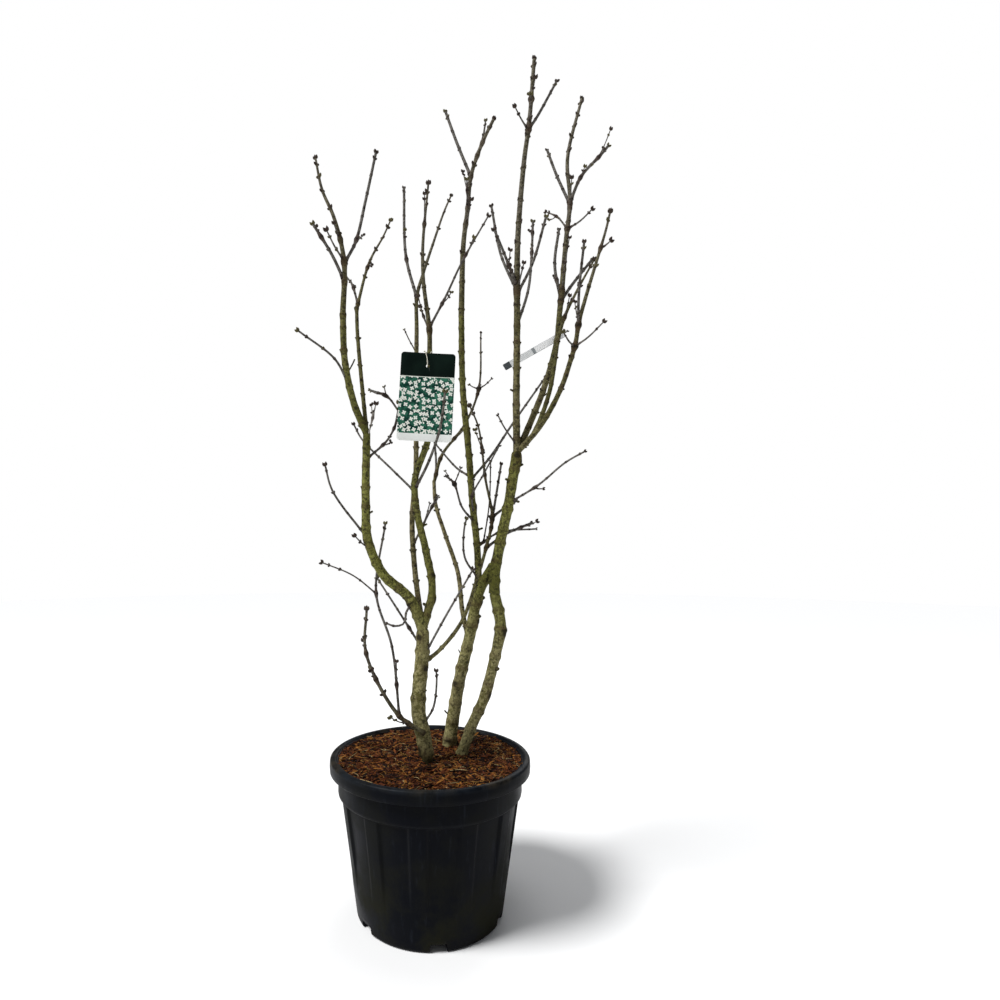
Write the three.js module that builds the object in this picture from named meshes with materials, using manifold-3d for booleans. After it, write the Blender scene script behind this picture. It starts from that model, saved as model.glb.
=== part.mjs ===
// A bare multi-stem lilac in a black nursery pot, with a hanging picture card and a strip label.
// Millimetres and degrees, +Z up. The origin is the centre of the pot's flat underside.
import * as THREE from 'three';
import { mergeVertices } from 'three/addons/utils/BufferGeometryUtils.js';
import Module from 'manifold-3d';

const wasm = await Module();
wasm.setup();

// Driving dimensions
const GAP = 0.3;
const SOIL_TOP = 368;
const SOIL_EDGE = { width: 14, drop: 2.4 };

const POT = {
  baseRadius: 191, footRadius: 183, footRound: 8,
  bodyTop: 294, bodyTopRadius: 236,
  collarRadius: 243, collarTop: 352,
  rimRadius: 266, rimTop: 386, lipThickness: 4,
  wall: 7, floor: 4,
};
const FLUTES = {
  count: 12, first: 8, halfWidth: 9, flank: 1.2, depth: 4, top: 290, bottom: 60, rings: [140, 220],
};
const NOTCHES = { count: 6, first: 6, width: 40, height: 20, inner: 150, shell: 3, slot: 24, slotHeight: 10 };

const CARD = { width: 147, height: 243, thickness: 1.2, corner: 9, turn: 3, middle: [-10, -97, 1338] };
const CARD_HOLE = { width: 10, height: 8, below: 36 };
const TIE = { wire: 1.2, rings: 24, sides: 5 };
const STRIP = { length: 208, width: 20, thickness: 1, rise: 30, middle: [311, 61.5, 1523] };

// Root flare: how much wider a stem is at the soil, and how high the flare reaches
const FLARE = { gain: 0.1, height: 45 };
const STEM_SUNK = 15;
const ROOT_SUNK = 8;

// A run is [length, lean to the right, lean to the back]; a limb follows its runs in a smooth curve.
// Girths are diameters at the foot and at the tip.
const STEMS = {
  stem_left: {
    foot: [-8, -50], girth: [41, 34],
    runs: [[75, -5, -1], [80, -11, -1], [70, 2, 0], [70, 5, -1], [80, 2, -1]],
  },
  stem_middle: {
    foot: [50, 90], girth: [38, 27],
    runs: [[100, 9, -2], [125, 10, -2], [110, 14, -2], [130, 12, -3], [85, 27, -19]],
  },
  stem_right: {
    foot: [76, 10], girth: [28, 30],
    runs: [[105, 21, 1], [75, 25, 2], [105, 17, 3], [105, 11, 2], [95, -10, 3]],
  },
};

// A bough grows from a stem or another bough, at a share of that limb's length.
const BOUGHS = {
  bough_left_lower: {
    on: 'stem_left', at: 1, girth: [28, 19],
    runs: [[80, -25, -6], [100, -47, -9], [100, -23, -11], [95, -3, -9], [190, 1, -7]],
  },
  bough_left_upper: {
    on: 'bough_left_lower', at: 1, girth: [19, 15.5], runs: [[75, -26, -7], [110, -12, -11], [130, -2, -9]],
  },
  bough_left_inner: {
    on: 'bough_left_lower', at: 1, girth: [11.5, 10], runs: [[120, -8, 14], [185, -7, 16], [90, -4, 13]],
  },
  bough_centre_front: {
    on: 'stem_left', at: 1, girth: [21, 15],
    runs: [[100, 14, -2], [100, -9, -1], [115, -13, -1], [85, -3, -1], [135, 17, -2], [232, 0, -2]],
  },
  bough_centre_back: {
    on: 'stem_left', at: 1, girth: [15, 13],
    runs: [[130, -9, 7], [155, -4, 6], [130, 4, 9], [235, 0, 10], [245, 0, 10]],
  },
  bough_cross: {
    on: 'stem_left', at: 0.74, girth: [11, 9], runs: [[58, 55, 13], [100, 40, 12], [120, 21, 8], [85, 18, 8]],
  },
  bough_back: {
    on: 'stem_middle', at: 0.592, girth: [14, 11],
    runs: [[85, -12, 14], [110, -6, 8], [130, -18, 8], [90, -17, 9], [80, -4, 9]],
  },
  bough_tall_middle: {
    on: 'stem_middle', at: 0.845, girth: [20, 17],
    runs: [[125, -2, -5], [140, -6, -6], [130, -4, -4], [200, -5, -2], [220, -1, -2]],
  },
  bough_right_lower: {
    on: 'stem_right', at: 1, girth: [30, 27],
    runs: [[47, 4, -1], [95, 10, -6], [107, 11, -16], [152, 9, -8]],
  },
  bough_tallest: { on: 'bough_right_lower', at: 1, girth: [20, 18], runs: [[105, -1, -2], [230, 1, -2]] },
  bough_right_back: {
    on: 'bough_right_lower', at: 1, girth: [18, 16.5],
    runs: [[90, 27, 16], [145, 23, 16], [145, 17, 10], [110, 8, 7]],
  },
  bough_right_thin: {
    on: 'bough_right_lower', at: 1, girth: [13.5, 11.5], runs: [[55, 47, -2], [135, 23, 6], [175, 11, 4]],
  },
  bough_right_front: {
    on: 'bough_right_lower', at: 1, girth: [15.5, 12.5],
    runs: [[92, 44, -20], [110, 28, -19], [100, 17, -20]],
  },
};

// A mass of twigs is a leader and its shoots, fused. A shoot is [what it grows on, share, runs...],
// where 0 is the leader and 1, 2, 3 are the shoots in their order here.
const TWIGS = {
  twigs_left_upper: {
    on: 'bough_left_upper', at: 1, girth: [15.5, 5.5],
    runs: [[125, 2, -9], [110, -13, -8], [80, -23, -4], [85, -12, -3]],
    shoots: [
      [0, 0.2, [70, -26, -16], [85, -34, -21]],
      [0, 0.33, [82, -36, -42]],
      [0, 0.31, [70, 23, 8], [125, 10, 9], [160, 9, 8]],
      [0, 0.46, [40, -23, -30]],
    ],
  },
  twigs_left_inner: {
    on: 'bough_left_inner', at: 1, girth: [9.5, 4.5], runs: [[155, 12, 12], [105, 22, 14], [60, 20, 10]],
    shoots: [[0, 0.05, [75, -17, 14], [35, -33, 14], [40, -4, 14]]],
  },
  twigs_centre_front: {
    on: 'bough_centre_front', at: 1, girth: [14, 5.5], slim: true,
    runs: [[54, -1, -2], [135, -7, -4], [95, -1, -6], [175, 5, -5]],
    shoots: [
      [0, 0.14, [95, 28, -6], [110, 25, -3], [140, 31, -10]],
      [0, 0.12, [85, -18, 14]],
    ],
  },
  twigs_centre_back: {
    on: 'bough_centre_back', at: 1, girth: [12.5, 5.5],
    runs: [[100, 0, 10], [100, 12, 17], [120, 15, 15], [140, 16, 13], [70, 20, 12]],
    shoots: [[0, 0.195, [160, -13, 11], [250, -2, 7]]],
  },
  twigs_cross: {
    on: 'bough_cross', at: 1, girth: [9, 4.5],
    runs: [[95, 13, 8], [115, -10, -8], [145, -8, -8], [65, -22, -4]],
    shoots: [
      [0, 0.23, [85, 11, 13], [90, 11, 13]],
      [0, 0.25, [65, 54, 40], [65, 60, 39]],
      [0, 0.04, [85, 57, 32], [105, 67, 28]],
    ],
  },
  twigs_back: {
    on: 'bough_back', at: 1, girth: [10.5, 4.5],
    runs: [[85, 18, 8], [115, 37, -4], [120, 22, -5], [190, 3, 3]],
    shoots: [
      [0, 0.05, [50, 0, 12], [140, -4, 10], [105, 4, 8]],
      [0, 0.64, [36, -60, 20]],
      [0, 0.64, [52, 55, -20]],
    ],
  },
  twigs_tall_middle: {
    on: 'bough_tall_middle', at: 1, girth: [17.5, 9.5],
    runs: [[215, 2, -2], [100, 7, -2], [110, 6, -2], [95, 20, -12], [75, 27, -11]],
    shoots: [
      [0, 0.71, [130, -18, 9], [126, -16, 9]],
      [0, 0.55, [75, -5, -37]],
      [0, 0.88, [64, 8, -8]],
    ],
  },
  twigs_tallest: {
    on: 'bough_tallest', at: 1, girth: [18.5, 10.5],
    runs: [[265, 1, -2], [240, 5, -2], [105, 8, -2], [200, 5, -2]],
    shoots: [
      [0, 0.03, [140, 18, 19], [125, 9, 19], [140, 5, 12]],
      [0, 0.14, [95, 27, -16], [125, 16, -14]],
      [0, 0.15, [135, -18, 12], [180, -7, 13]],
      [0, 0.165, [90, -28, -27], [75, -26, -16]],
      [0, 0.19, [45, -37, -34]],
      [0, 0.16, [70, 14, -30]],
      [0, 0.735, [70, -43, -27]],
      [0, 0.735, [65, 29, 12], [145, 26, 9]],
    ],
  },
  twigs_right_back: {
    on: 'bough_right_back', at: 1, girth: [17, 9],
    runs: [[55, 8, 7], [185, 7, 6], [135, 8, 6], [150, -1, 3], [230, 14, 4]],
    shoots: [
      [0, 0.05, [140, -3, 17], [150, 10, 16]],
      [0, 0.045, [80, 32, 24], [150, 36, 19]],
      [0, 0.375, [68, -24, 24], [46, -48, 24]],
      [0, 0.375, [88, 60, -28]],
      [0, 0.49, [120, -17, 11], [110, -13, 12]],
      [0, 0.5, [80, 24, -20], [75, 46, -18], [40, 43, -15]],
    ],
  },
  twigs_right_thin: {
    on: 'bough_right_thin', at: 1, girth: [11, 5], runs: [[60, 17, -8], [75, 25, -18], [95, 29, -17]],
  },
  twigs_right_front: {
    on: 'bough_right_front', at: 1, girth: [12.5, 5.5],
    runs: [[25, 12, -18], [50, 7, -16], [65, 14, -14], [100, 16, -12], [75, 16, -10], [45, 12, -13]],
    shoots: [
      [0, 0.06, [40, 62, -37], [55, 47, -22]],
      [0, 0.06, [70, -66, -49]],
      [0, 0.2, [85, -5, -29], [120, 3, -19]],
      [0, 0.75, [30, 58, -20]],
    ],
  },
  // Side twigs, each from the flank of a stem or bough
  twigs_low_left: {
    on: 'stem_left', at: 0.27, girth: [11.5, 6.5],
    runs: [[28, -10, -70], [75, -54, -7], [180, -27, -9], [115, 1, -10]],
    shoots: [
      [0, 0.25, [175, -7, 5], [145, -18, 8], [195, 6, 12]],
      [1, 0.62, [80, -51, -15], [90, -66, -19]],
    ],
  },
  twigs_mid_left: { on: 'stem_left', at: 0.845, girth: [6.5, 5], runs: [[135, -34, 12], [100, -36, 24]] },
  twigs_low_right: {
    on: 'stem_left', at: 0.31, girth: [6.5, 5], runs: [[60, 32, -12], [78, 7, -14], [25, -3, -11]],
  },
  twigs_cross_low: { on: 'stem_left', at: 0.765, girth: [6.5, 5], runs: [[125, 28, -12], [155, 31, 4]] },
  twigs_west: {
    on: 'bough_left_lower', at: 0.505, girth: [6.5, 5], runs: [[155, -36, -11], [70, -16, -8]],
  },
  twigs_west_short: { on: 'bough_left_lower', at: 0.46, girth: [5.5, 4.4], runs: [[58, -50, -33]] },
  twigs_curled: {
    on: 'bough_left_lower', at: 0.13, girth: [6.5, 5],
    runs: [[30, -140, -34], [32, -168, -12], [24, -105, -14], [24, -72, -12]],
  },
  twigs_inner_left: {
    on: 'bough_left_lower', at: 0.868, girth: [6.5, 5], runs: [[85, 42, 24], [85, 22, 27]],
  },
  twigs_pale: { on: 'bough_left_lower', at: 0.955, girth: [5.5, 4.4], runs: [[98, 17, -22]] },
  twigs_far_left: {
    on: 'bough_left_upper', at: 0.4, girth: [6.5, 5], runs: [[76, -28, -21], [115, -56, -24]],
  },
  twigs_behind_left: {
    on: 'bough_centre_back', at: 0.42, girth: [6.5, 5],
    runs: [[95, -45, 10], [130, -44, 14], [55, -29, 10]],
  },
  twigs_centre_low: {
    on: 'bough_centre_back', at: 0.25, girth: [6.5, 5], runs: [[65, 26, 0], [92, 26, 8]],
  },
  twigs_before_card: {
    on: 'bough_centre_front', at: 0.49, girth: [6.5, 5], runs: [[90, 28, -22], [95, 19, -16], [92, 8, -8]],
  },
  twigs_behind_card: {
    on: 'bough_centre_back', at: 0.615, girth: [6.5, 5],
    runs: [[80, -41, -18], [50, -40, -19], [55, -72, -16]],
    shoots: [[0, 0.72, [35, -14, 20]]],
  },
  twigs_above_card: { on: 'bough_centre_back', at: 0.9, girth: [5.5, 4.4], runs: [[95, -25, 16]] },
  twigs_label_spur: { on: 'bough_right_back', at: 0.83, girth: [6, 4], runs: [[42, 62, 22]] },
  twigs_fork_left: {
    on: 'bough_tall_middle', at: 0.049, girth: [6.5, 5],
    runs: [[75, -34, -17], [80, -2, -11], [35, 11, -24]],
  },
  twigs_middle_left: {
    on: 'bough_tall_middle', at: 0.25, girth: [6.5, 5],
    runs: [[60, -43, -25], [75, -20, -19], [35, -53, -25]],
    shoots: [[0, 0.78, [50, 22, -10]]],
  },
  twigs_middle_front: {
    on: 'bough_tall_middle', at: 0.28, girth: [5.5, 4.4], runs: [[65, -7, -41], [65, 28, -13], [95, 29, -3]],
  },
  twigs_middle_west: {
    on: 'bough_tall_middle', at: 0.411, girth: [6.5, 5], runs: [[50, -54, 27], [105, -39, 17]],
  },
  twigs_middle_east: {
    on: 'bough_tall_middle', at: 0.399, girth: [7.5, 6],
    runs: [[90, 40, 9], [125, 34, 9], [105, 35, 11], [90, 35, 13]],
  },
  twigs_behind_right: {
    on: 'bough_tall_middle', at: 0.162, girth: [6.5, 5], runs: [[80, 58, 13], [120, 84, 14]],
    shoots: [[0, 0.12, [110, 8, -12], [130, 3, 4]]],
  },
  twigs_right_low: {
    on: 'bough_right_lower', at: 0.635, girth: [6.5, 5],
    runs: [[97, 59, -27], [95, 50, -21], [60, 61, -24]],
    shoots: [[0, 0.34, [25, 100, -20]]],
  },
  twigs_tallest_foot: {
    on: 'bough_tallest', at: 0.06, girth: [6.5, 5], runs: [[70, -42, -32], [40, -34, -30]],
  },
};

// Spurs: short side twigs that a seeded rule sets at the nodes of every shoot
const SPUR = {
  nodes: 75, chance: 0.16, short: 25, long: 85, girth: [4.4, 3.6],
  spread: 46, swing: 22, lift: 0.12, reach: 60, clear: 9,
};
// A short shoot is thin and tapers. A long one is stout up to its tip, except in a slim mass.
const SHOOT_GIRTH = { most: 7, share: 0.8, tip: 4.4 };
const LONG_SHOOT = { above: 150, most: 8.4, share: 0.68, taper: 0.85 };
const SAG = 0.09;

const COLOURS = {
  plastic: 0x24262a, soil: 0x5c3a26, bark: 0x6b6250, olive: 0x6a6a3e, shoot: 0x5d4c41,
  card: 0x1d4a38, tie: 0xd9d4c4, strip: 0xd5d8d6,
};

// Solids

function solidOf(geometry) {
  const bare = geometry.clone();
  bare.deleteAttribute('normal');
  bare.deleteAttribute('uv');
  const merged = mergeVertices(bare, 1e-4);
  return new wasm.Manifold(new wasm.Mesh({
    numProp: 3,
    vertProperties: merged.attributes.position.array,
    triVerts: new Uint32Array(merged.index.array),
  }));
}

function largestPart(solid) {
  const parts = solid.decompose();
  return parts.reduce((best, part) => (part.volume() > best.volume() ? part : best));
}

function meshOf(name, solid, material) {
  const { vertProperties, triVerts } = solid.getMesh();
  const geometry = new THREE.BufferGeometry();
  geometry.setAttribute('position', new THREE.BufferAttribute(vertProperties, 3));
  geometry.setIndex(new THREE.BufferAttribute(triVerts, 1));
  geometry.computeVertexNormals();
  const mesh = new THREE.Mesh(geometry, material);
  mesh.name = name;
  return mesh;
}

function material(color, roughness) {
  return new THREE.MeshStandardMaterial({ color, roughness, metalness: 0 });
}

function block(size, centre, turn = 0) {
  const box = new THREE.BoxGeometry(...size).translate(...centre);
  return solidOf(box.rotateZ(THREE.MathUtils.degToRad(turn)));
}

// Paths

function direction(lean, back) {
  const side = THREE.MathUtils.degToRad(lean);
  const depth = THREE.MathUtils.degToRad(back);
  const flat = Math.cos(depth);
  return new THREE.Vector3(flat * Math.sin(side), Math.sin(depth), flat * Math.cos(side));
}

// A single run sags a little in its middle, as a shoot that starts level and turns up to the light.
function sagged(start, end, length) {
  const middle = start.clone().lerp(end, 0.5);
  const level = Math.hypot(end.x - start.x, end.y - start.y) / length;
  middle.z -= SAG * length * level;
  return middle;
}

function pathOf(start, runs, root = start) {
  const points = [start.clone()];
  for (const [length, lean, back] of runs) {
    const next = points.at(-1).clone().addScaledVector(direction(lean, back), length);
    if (runs.length === 1) points.push(sagged(start, next, length));
    points.push(next);
  }
  points[0] = root.clone();
  return new THREE.CatmullRomCurve3(points, false, 'centripetal');
}

// What grows from a limb's tip is rooted a little below it, and its first run still counts from the tip.
function growFrom(parent, share, runs) {
  const sunk = share === 1 ? ROOT_SUNK / parent.getLength() : 0;
  return pathOf(parent.getPointAt(share), runs, parent.getPointAt(share - sunk));
}

// A limb is a unit cylinder whose rings are laid along a path, each at its own radius.
function limbSolid(path, radiusAt, sides, rings) {
  const unit = new THREE.CylinderGeometry(1, 1, 1, sides, rings);
  unit.deleteAttribute('normal');
  unit.deleteAttribute('uv');
  const tube = mergeVertices(unit, 1e-4);
  const frames = path.computeFrenetFrames(rings, false);
  const at = tube.attributes.position;
  for (let i = 0; i < at.count; i += 1) {
    const ring = Math.round((at.getY(i) + 0.5) * rings);
    const share = ring / rings;
    const radius = radiusAt(share);
    const point = path.getPointAt(share);
    point.addScaledVector(frames.normals[ring], at.getX(i) * radius);
    point.addScaledVector(frames.binormals[ring], -at.getZ(i) * radius);
    at.setXYZ(i, point.x, point.y, point.z);
  }
  return solidOf(tube);
}

function taper(girth) {
  return (share) => THREE.MathUtils.lerp(girth[0], girth[1], share) / 2;
}

// The same limb, thicker all round and longer at its tip by the gap: what a neighbour is cut by
function grownSolid(path, radiusAt, sides, rings) {
  const tip = path.getPointAt(1);
  const beyond = tip.clone().addScaledVector(path.getTangentAt(1), GAP);
  const longer = new THREE.CatmullRomCurve3([...path.points.slice(0, -1), tip, beyond], false, 'centripetal');
  const core = limbSolid(path, (share) => radiusAt(share) + GAP / Math.cos(Math.PI / sides), sides, rings);
  const cap = limbSolid(
    new THREE.LineCurve3(path.getPointAt(0.97), longer.getPointAt(1)),
    () => radiusAt(1) + GAP / Math.cos(Math.PI / sides), sides, 1,
  );
  return core.add(cap);
}

// Limbs

const limbs = {};

function clearOfLimbs(solid) {
  let cut = solid;
  for (const limb of Object.values(limbs)) {
    cut = cut.subtract(limb.grown);
  }
  return largestPart(cut);
}

function addLimb(name, path, row, sides, radiusAt) {
  const rings = row.runs.length * 2;
  const solid = clearOfLimbs(limbSolid(path, radiusAt, sides, rings));
  limbs[name] = { path, radiusAt, solid, grown: grownSolid(path, radiusAt, sides, rings) };
}

// A stem starts below the soil's surface and is cut off flat just above it.
function addStem(name, row) {
  const ground = SOIL_TOP + GAP;
  const start = new THREE.Vector3(...row.foot, ground - STEM_SUNK);
  const plain = taper(row.girth);
  const path = pathOf(start, row.runs);
  const length = path.getLength();
  const flare = (share) => Math.min(1, Math.max(0, 1 - (share * length - STEM_SUNK) / FLARE.height)) ** 2;
  addLimb(name, path, row, 10, (share) => plain(share) * (1 + FLARE.gain * flare(share)));
  const below = block([300, 300, 100], [...row.foot, ground - 50]);
  limbs[name].solid = limbs[name].solid.subtract(below);
}

function addBough(name, row) {
  addLimb(name, growFrom(limbs[row.on].path, row.at, row.runs), row, 7, taper(row.girth));
}

// Twigs

// A repeatable number between 0 and 1 for each seed
function chance(seed) {
  const wave = Math.sin(seed * 127.1 + 11.7) * 43758.5453;
  return wave - Math.floor(wave);
}

function twigSolid(path, girth, runs) {
  const sides = girth[0] > 9 ? 5 : 3;
  const swell = sides === 3 ? 1.2 : 1.05;
  const radiusAt = (share) => taper(girth)(share) * swell;
  return limbSolid(path, radiusAt, sides, runs * 2);
}

function shootGirth(parent, share, long) {
  const there = THREE.MathUtils.lerp(parent.girth[0], parent.girth[1], share);
  if (long) {
    const girth = Math.min(LONG_SHOOT.most, there * LONG_SHOOT.share);
    return [girth, girth * LONG_SHOOT.taper];
  }
  return [Math.min(SHOOT_GIRTH.most, there * SHOOT_GIRTH.share), SHOOT_GIRTH.tip];
}

// Centre lines of all limbs and twigs so far, as points with the owner's name
const lines = [];

function noteLine(owner, path) {
  const steps = Math.ceil(path.getLength() / 12);
  path.getSpacedPoints(steps).forEach((point) => lines.push({ owner, point }));
}

function nearAnother(path, parentReach) {
  const own = path.getSpacedPoints(8).slice(1);
  const root = path.getPointAt(0);
  return own.some((point) => lines.some((other) => (
    other.point.distanceTo(point) < SPUR.clear && other.point.distanceTo(root) > parentReach
  )));
}

// Spurs leave a node in opposite pairs, towards the front and the back; some places stay bare.
function spursOn(twig, seed) {
  const spurs = [];
  const length = twig.path.getLength();
  const nodes = Math.floor(length / SPUR.nodes);
  for (let node = 1; node <= nodes; node += 1) {
    const share = node / (nodes + 0.6);
    const tangent = twig.path.getTangentAt(share);
    const across = new THREE.Vector3(0, 1, 0).cross(tangent).normalize();
    for (const half of [0, 1]) {
      const key = seed + node * 7 + half * 3;
      if (chance(key) > SPUR.chance) continue;
      const turn = THREE.MathUtils.degToRad(90 + half * 180 + SPUR.swing * (chance(key + 0.3) - 0.5));
      const out = across.clone().applyAxisAngle(tangent, turn);
      const heading = tangent.clone().lerp(out, SPUR.spread / 90).normalize();
      const reach = THREE.MathUtils.lerp(SPUR.short, SPUR.long, chance(key + 0.5));
      const start = twig.path.getPointAt(share);
      const end = start.clone().addScaledVector(heading, reach);
      end.z += reach * SPUR.lift;
      const middle = start.clone().addScaledVector(heading, reach * 0.5);
      spurs.push(new THREE.CatmullRomCurve3([start, middle, end], false, 'centripetal'));
    }
  }
  return spurs;
}

function twigMass(name, row, seed) {
  const leader = { path: growFrom(limbs[row.on].path, row.at, row.runs), girth: row.girth };
  const family = [leader];
  let solid = twigSolid(leader.path, row.girth, row.runs.length);
  for (const [on, share, ...runs] of row.shoots ?? []) {
    const parent = family[on];
    const path = growFrom(parent.path, share, runs);
    const girth = shootGirth(parent, share, path.getLength() > LONG_SHOOT.above && !row.slim);
    const shoot = { path, girth };
    family.push(shoot);
    solid = solid.add(twigSolid(shoot.path, girth, runs.length));
  }
  const space = new THREE.Box3().setFromPoints(family.flatMap((twig) => twig.path.getSpacedPoints(12)));
  space.expandByScalar(SPUR.reach);
  family.forEach((twig) => noteLine(name, twig.path));
  family.forEach((twig, index) => {
    for (const path of spursOn(twig, seed + index * 31)) {
      if (!space.containsPoint(path.getPointAt(1)) || nearAnother(path, SPUR.clear * 2)) continue;
      noteLine(name, path);
      solid = solid.add(twigSolid(path, SPUR.girth, 1));
    }
  });
  return clearOfLimbs(solid);
}

// Pot

// Outline of the pot's outside from the axis up to the lip, then its inside back down to the axis
function potProfile() {
  const p = POT;
  const innerTop = p.collarRadius - p.lipThickness;
  const under = p.rimTop - p.lipThickness - 1;
  const skirt = p.rimRadius - 5;
  return [
    [0, 0], [p.footRadius, 0], [p.footRadius + 5, 2], [p.baseRadius, p.footRound],
    ...[FLUTES.bottom, ...FLUTES.rings].map((z) => [radiusAtHeight(z), z]),
    [radiusAtHeight(FLUTES.top - 3), FLUTES.top - 3], [radiusAtHeight(FLUTES.top), FLUTES.top],
    [p.bodyTopRadius, p.bodyTop], [p.collarRadius - 2, p.bodyTop + 4],
    [p.collarRadius, p.collarTop], [p.collarRadius, under], [skirt, under], [skirt, p.collarTop + 1],
    [p.rimRadius - 2, p.collarTop], [p.rimRadius, p.collarTop + 14], [p.rimRadius - 1, p.rimTop - 5],
    [p.rimRadius - 5, p.rimTop], [innerTop + 2, p.rimTop], [innerTop, p.rimTop - 3],
    [innerTop, p.collarTop], [p.bodyTopRadius - p.wall, p.bodyTop],
    [p.baseRadius - p.wall, p.footRound + p.floor], [p.baseRadius - p.wall - 8, p.floor], [0, p.floor],
  ].map(([x, y]) => new THREE.Vector2(x, y));
}

function radiusAtHeight(z) {
  const share = (z - POT.footRound) / (POT.bodyTop - POT.footRound);
  return THREE.MathUtils.lerp(POT.baseRadius, POT.bodyTopRadius, share);
}

// A lathe with five columns to each flute: the two edges of each flank and the panel's middle
function flutedLathe(profile, flutes) {
  const offsets = [
    -FLUTES.halfWidth - FLUTES.flank, -FLUTES.halfWidth, 0, FLUTES.halfWidth, FLUTES.halfWidth + FLUTES.flank,
  ];
  const columns = FLUTES.count * offsets.length;
  const lathe = new THREE.LatheGeometry(profile, columns).rotateX(Math.PI / 2);
  lathe.deleteAttribute('normal');
  lathe.deleteAttribute('uv');
  const shell = mergeVertices(lathe, 1e-3);
  const at = shell.attributes.position;
  for (let i = 0; i < at.count; i += 1) {
    const radius = Math.hypot(at.getX(i), at.getY(i));
    const angle = THREE.MathUtils.radToDeg(Math.atan2(at.getY(i), at.getX(i)));
    const column = ((Math.round((angle * columns) / 360) % columns) + columns) % columns;
    const place = column % offsets.length;
    const flute = Math.floor(column / offsets.length);
    const turned = -90 + FLUTES.first + flute * (360 / FLUTES.count) + offsets[place];
    const sunk = flutes && place > 0 && place < 4 ? fluteDepth(at.getZ(i), radius) : 0;
    const there = THREE.MathUtils.degToRad(turned);
    at.setXYZ(i, (radius - sunk) * Math.cos(there), (radius - sunk) * Math.sin(there), at.getZ(i));
  }
  return solidOf(shell);
}

// Flutes are deepest under the collar and run out towards the foot.
function fluteDepth(z, radius) {
  if (z > FLUTES.top - 2 || z < FLUTES.bottom || radius < radiusAtHeight(z) - 1) return 0;
  return FLUTES.depth * THREE.MathUtils.smoothstep(z, FLUTES.bottom, 200);
}

function aroundFoot(make) {
  let all = null;
  for (let i = 0; i < NOTCHES.count; i += 1) {
    const piece = make(-90 + NOTCHES.first + i * (360 / NOTCHES.count));
    all = all ? all.add(piece) : piece;
  }
  return all;
}

// A drain notch is a pocket in the foot with its own thin housing and a slot into the pot.
function housings(extra) {
  const { width, height, inner, shell } = NOTCHES;
  const outer = POT.baseRadius - POT.wall / 2;
  const length = outer - inner + shell + extra;
  return aroundFoot((turn) => block(
    [length, width + 2 * (shell + extra), height + shell + extra - 1],
    [outer - length / 2, 0, (height + shell + extra + 1) / 2], turn,
  ));
}

function notches() {
  const { width, height, inner, shell, slot, slotHeight } = NOTCHES;
  const reach = POT.baseRadius - inner + 30;
  const below = 10;
  const pocket = (turn) => block(
    [reach, width, height + below], [inner + reach / 2, 0, (height - below) / 2], turn,
  );
  const outlet = (turn) => block([shell * 4, slot, slotHeight], [inner, 0, slotHeight], turn);
  return aroundFoot(pocket).add(aroundFoot(outlet));
}

function potSolid() {
  return flutedLathe(potProfile(), true).add(housings(0)).subtract(notches());
}

function soilSolid() {
  const p = POT;
  const floor = p.floor + GAP;
  const edge = p.baseRadius - p.wall - GAP;
  const rim = p.collarRadius - p.lipThickness - GAP;
  const profile = [
    [0, floor], [edge - p.footRound - 0.5, floor], [edge, p.footRound + p.floor],
    [p.bodyTopRadius - p.wall - GAP, p.bodyTop], [rim, p.collarTop],
    [rim, SOIL_TOP - SOIL_EDGE.drop], [rim - SOIL_EDGE.width, SOIL_TOP], [0, SOIL_TOP],
  ].map(([x, y]) => new THREE.Vector2(x, y));
  return flutedLathe(profile, false).subtract(housings(GAP));
}

// Labels

function roundedOutline(width, height, corner) {
  const shape = new THREE.Shape();
  const [x, y] = [width / 2 - corner, height / 2 - corner];
  shape.absarc(x, y, corner, 0, Math.PI / 2);
  shape.absarc(-x, y, corner, Math.PI / 2, Math.PI);
  shape.absarc(-x, -y, corner, Math.PI, Math.PI * 1.5);
  shape.absarc(x, -y, corner, Math.PI * 1.5, Math.PI * 2);
  return shape;
}

// The card hangs in an upright plane in front of the centre bough, turned a little clockwise.
function onCard(geometry) {
  geometry.rotateX(Math.PI / 2);
  geometry.rotateY(THREE.MathUtils.degToRad(CARD.turn));
  const [x, y, z] = CARD.middle;
  return geometry.translate(x, y + CARD.thickness, z);
}

function cardSolid() {
  const outline = roundedOutline(CARD.width, CARD.height, CARD.corner);
  const hole = new THREE.Path();
  const middle = CARD.height / 2 - CARD_HOLE.below;
  const [w, h] = [CARD_HOLE.width / 2, CARD_HOLE.height / 2];
  hole.moveTo(-w, middle - h).lineTo(-w, middle + h).lineTo(w, middle + h).lineTo(w, middle - h).closePath();
  outline.holes.push(hole);
  const sheet = { depth: CARD.thickness, bevelEnabled: false, curveSegments: 4 };
  return solidOf(onCard(new THREE.ExtrudeGeometry(outline, sheet)));
}

// The tie goes through the card's hole, up its face, round the centre bough and down behind the card.
function tiePath() {
  const [x, front] = [CARD.middle[0] + 3, CARD.middle[1]];
  const hole = CARD.middle[2] + CARD.height / 2 - CARD_HOLE.below;
  const top = CARD.middle[2] + CARD.height / 2;
  const points = [
    [x, front + 0.6, hole], [x, front - 2.6, hole + 6], [x - 1, front - 2.4, top - 14],
    [x - 6, front - 1, top + 4],
    [x - 9, front + 14, top + 9], [x - 3, front + 27, top + 11], [x + 7, front + 26, top + 11],
    [x + 11, front + 14, top + 8], [x + 5, front + 5, top - 6], [x + 1, front + 4, hole + 8],
  ];
  return new THREE.CatmullRomCurve3(points.map((point) => new THREE.Vector3(...point)), true, 'centripetal');
}

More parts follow.
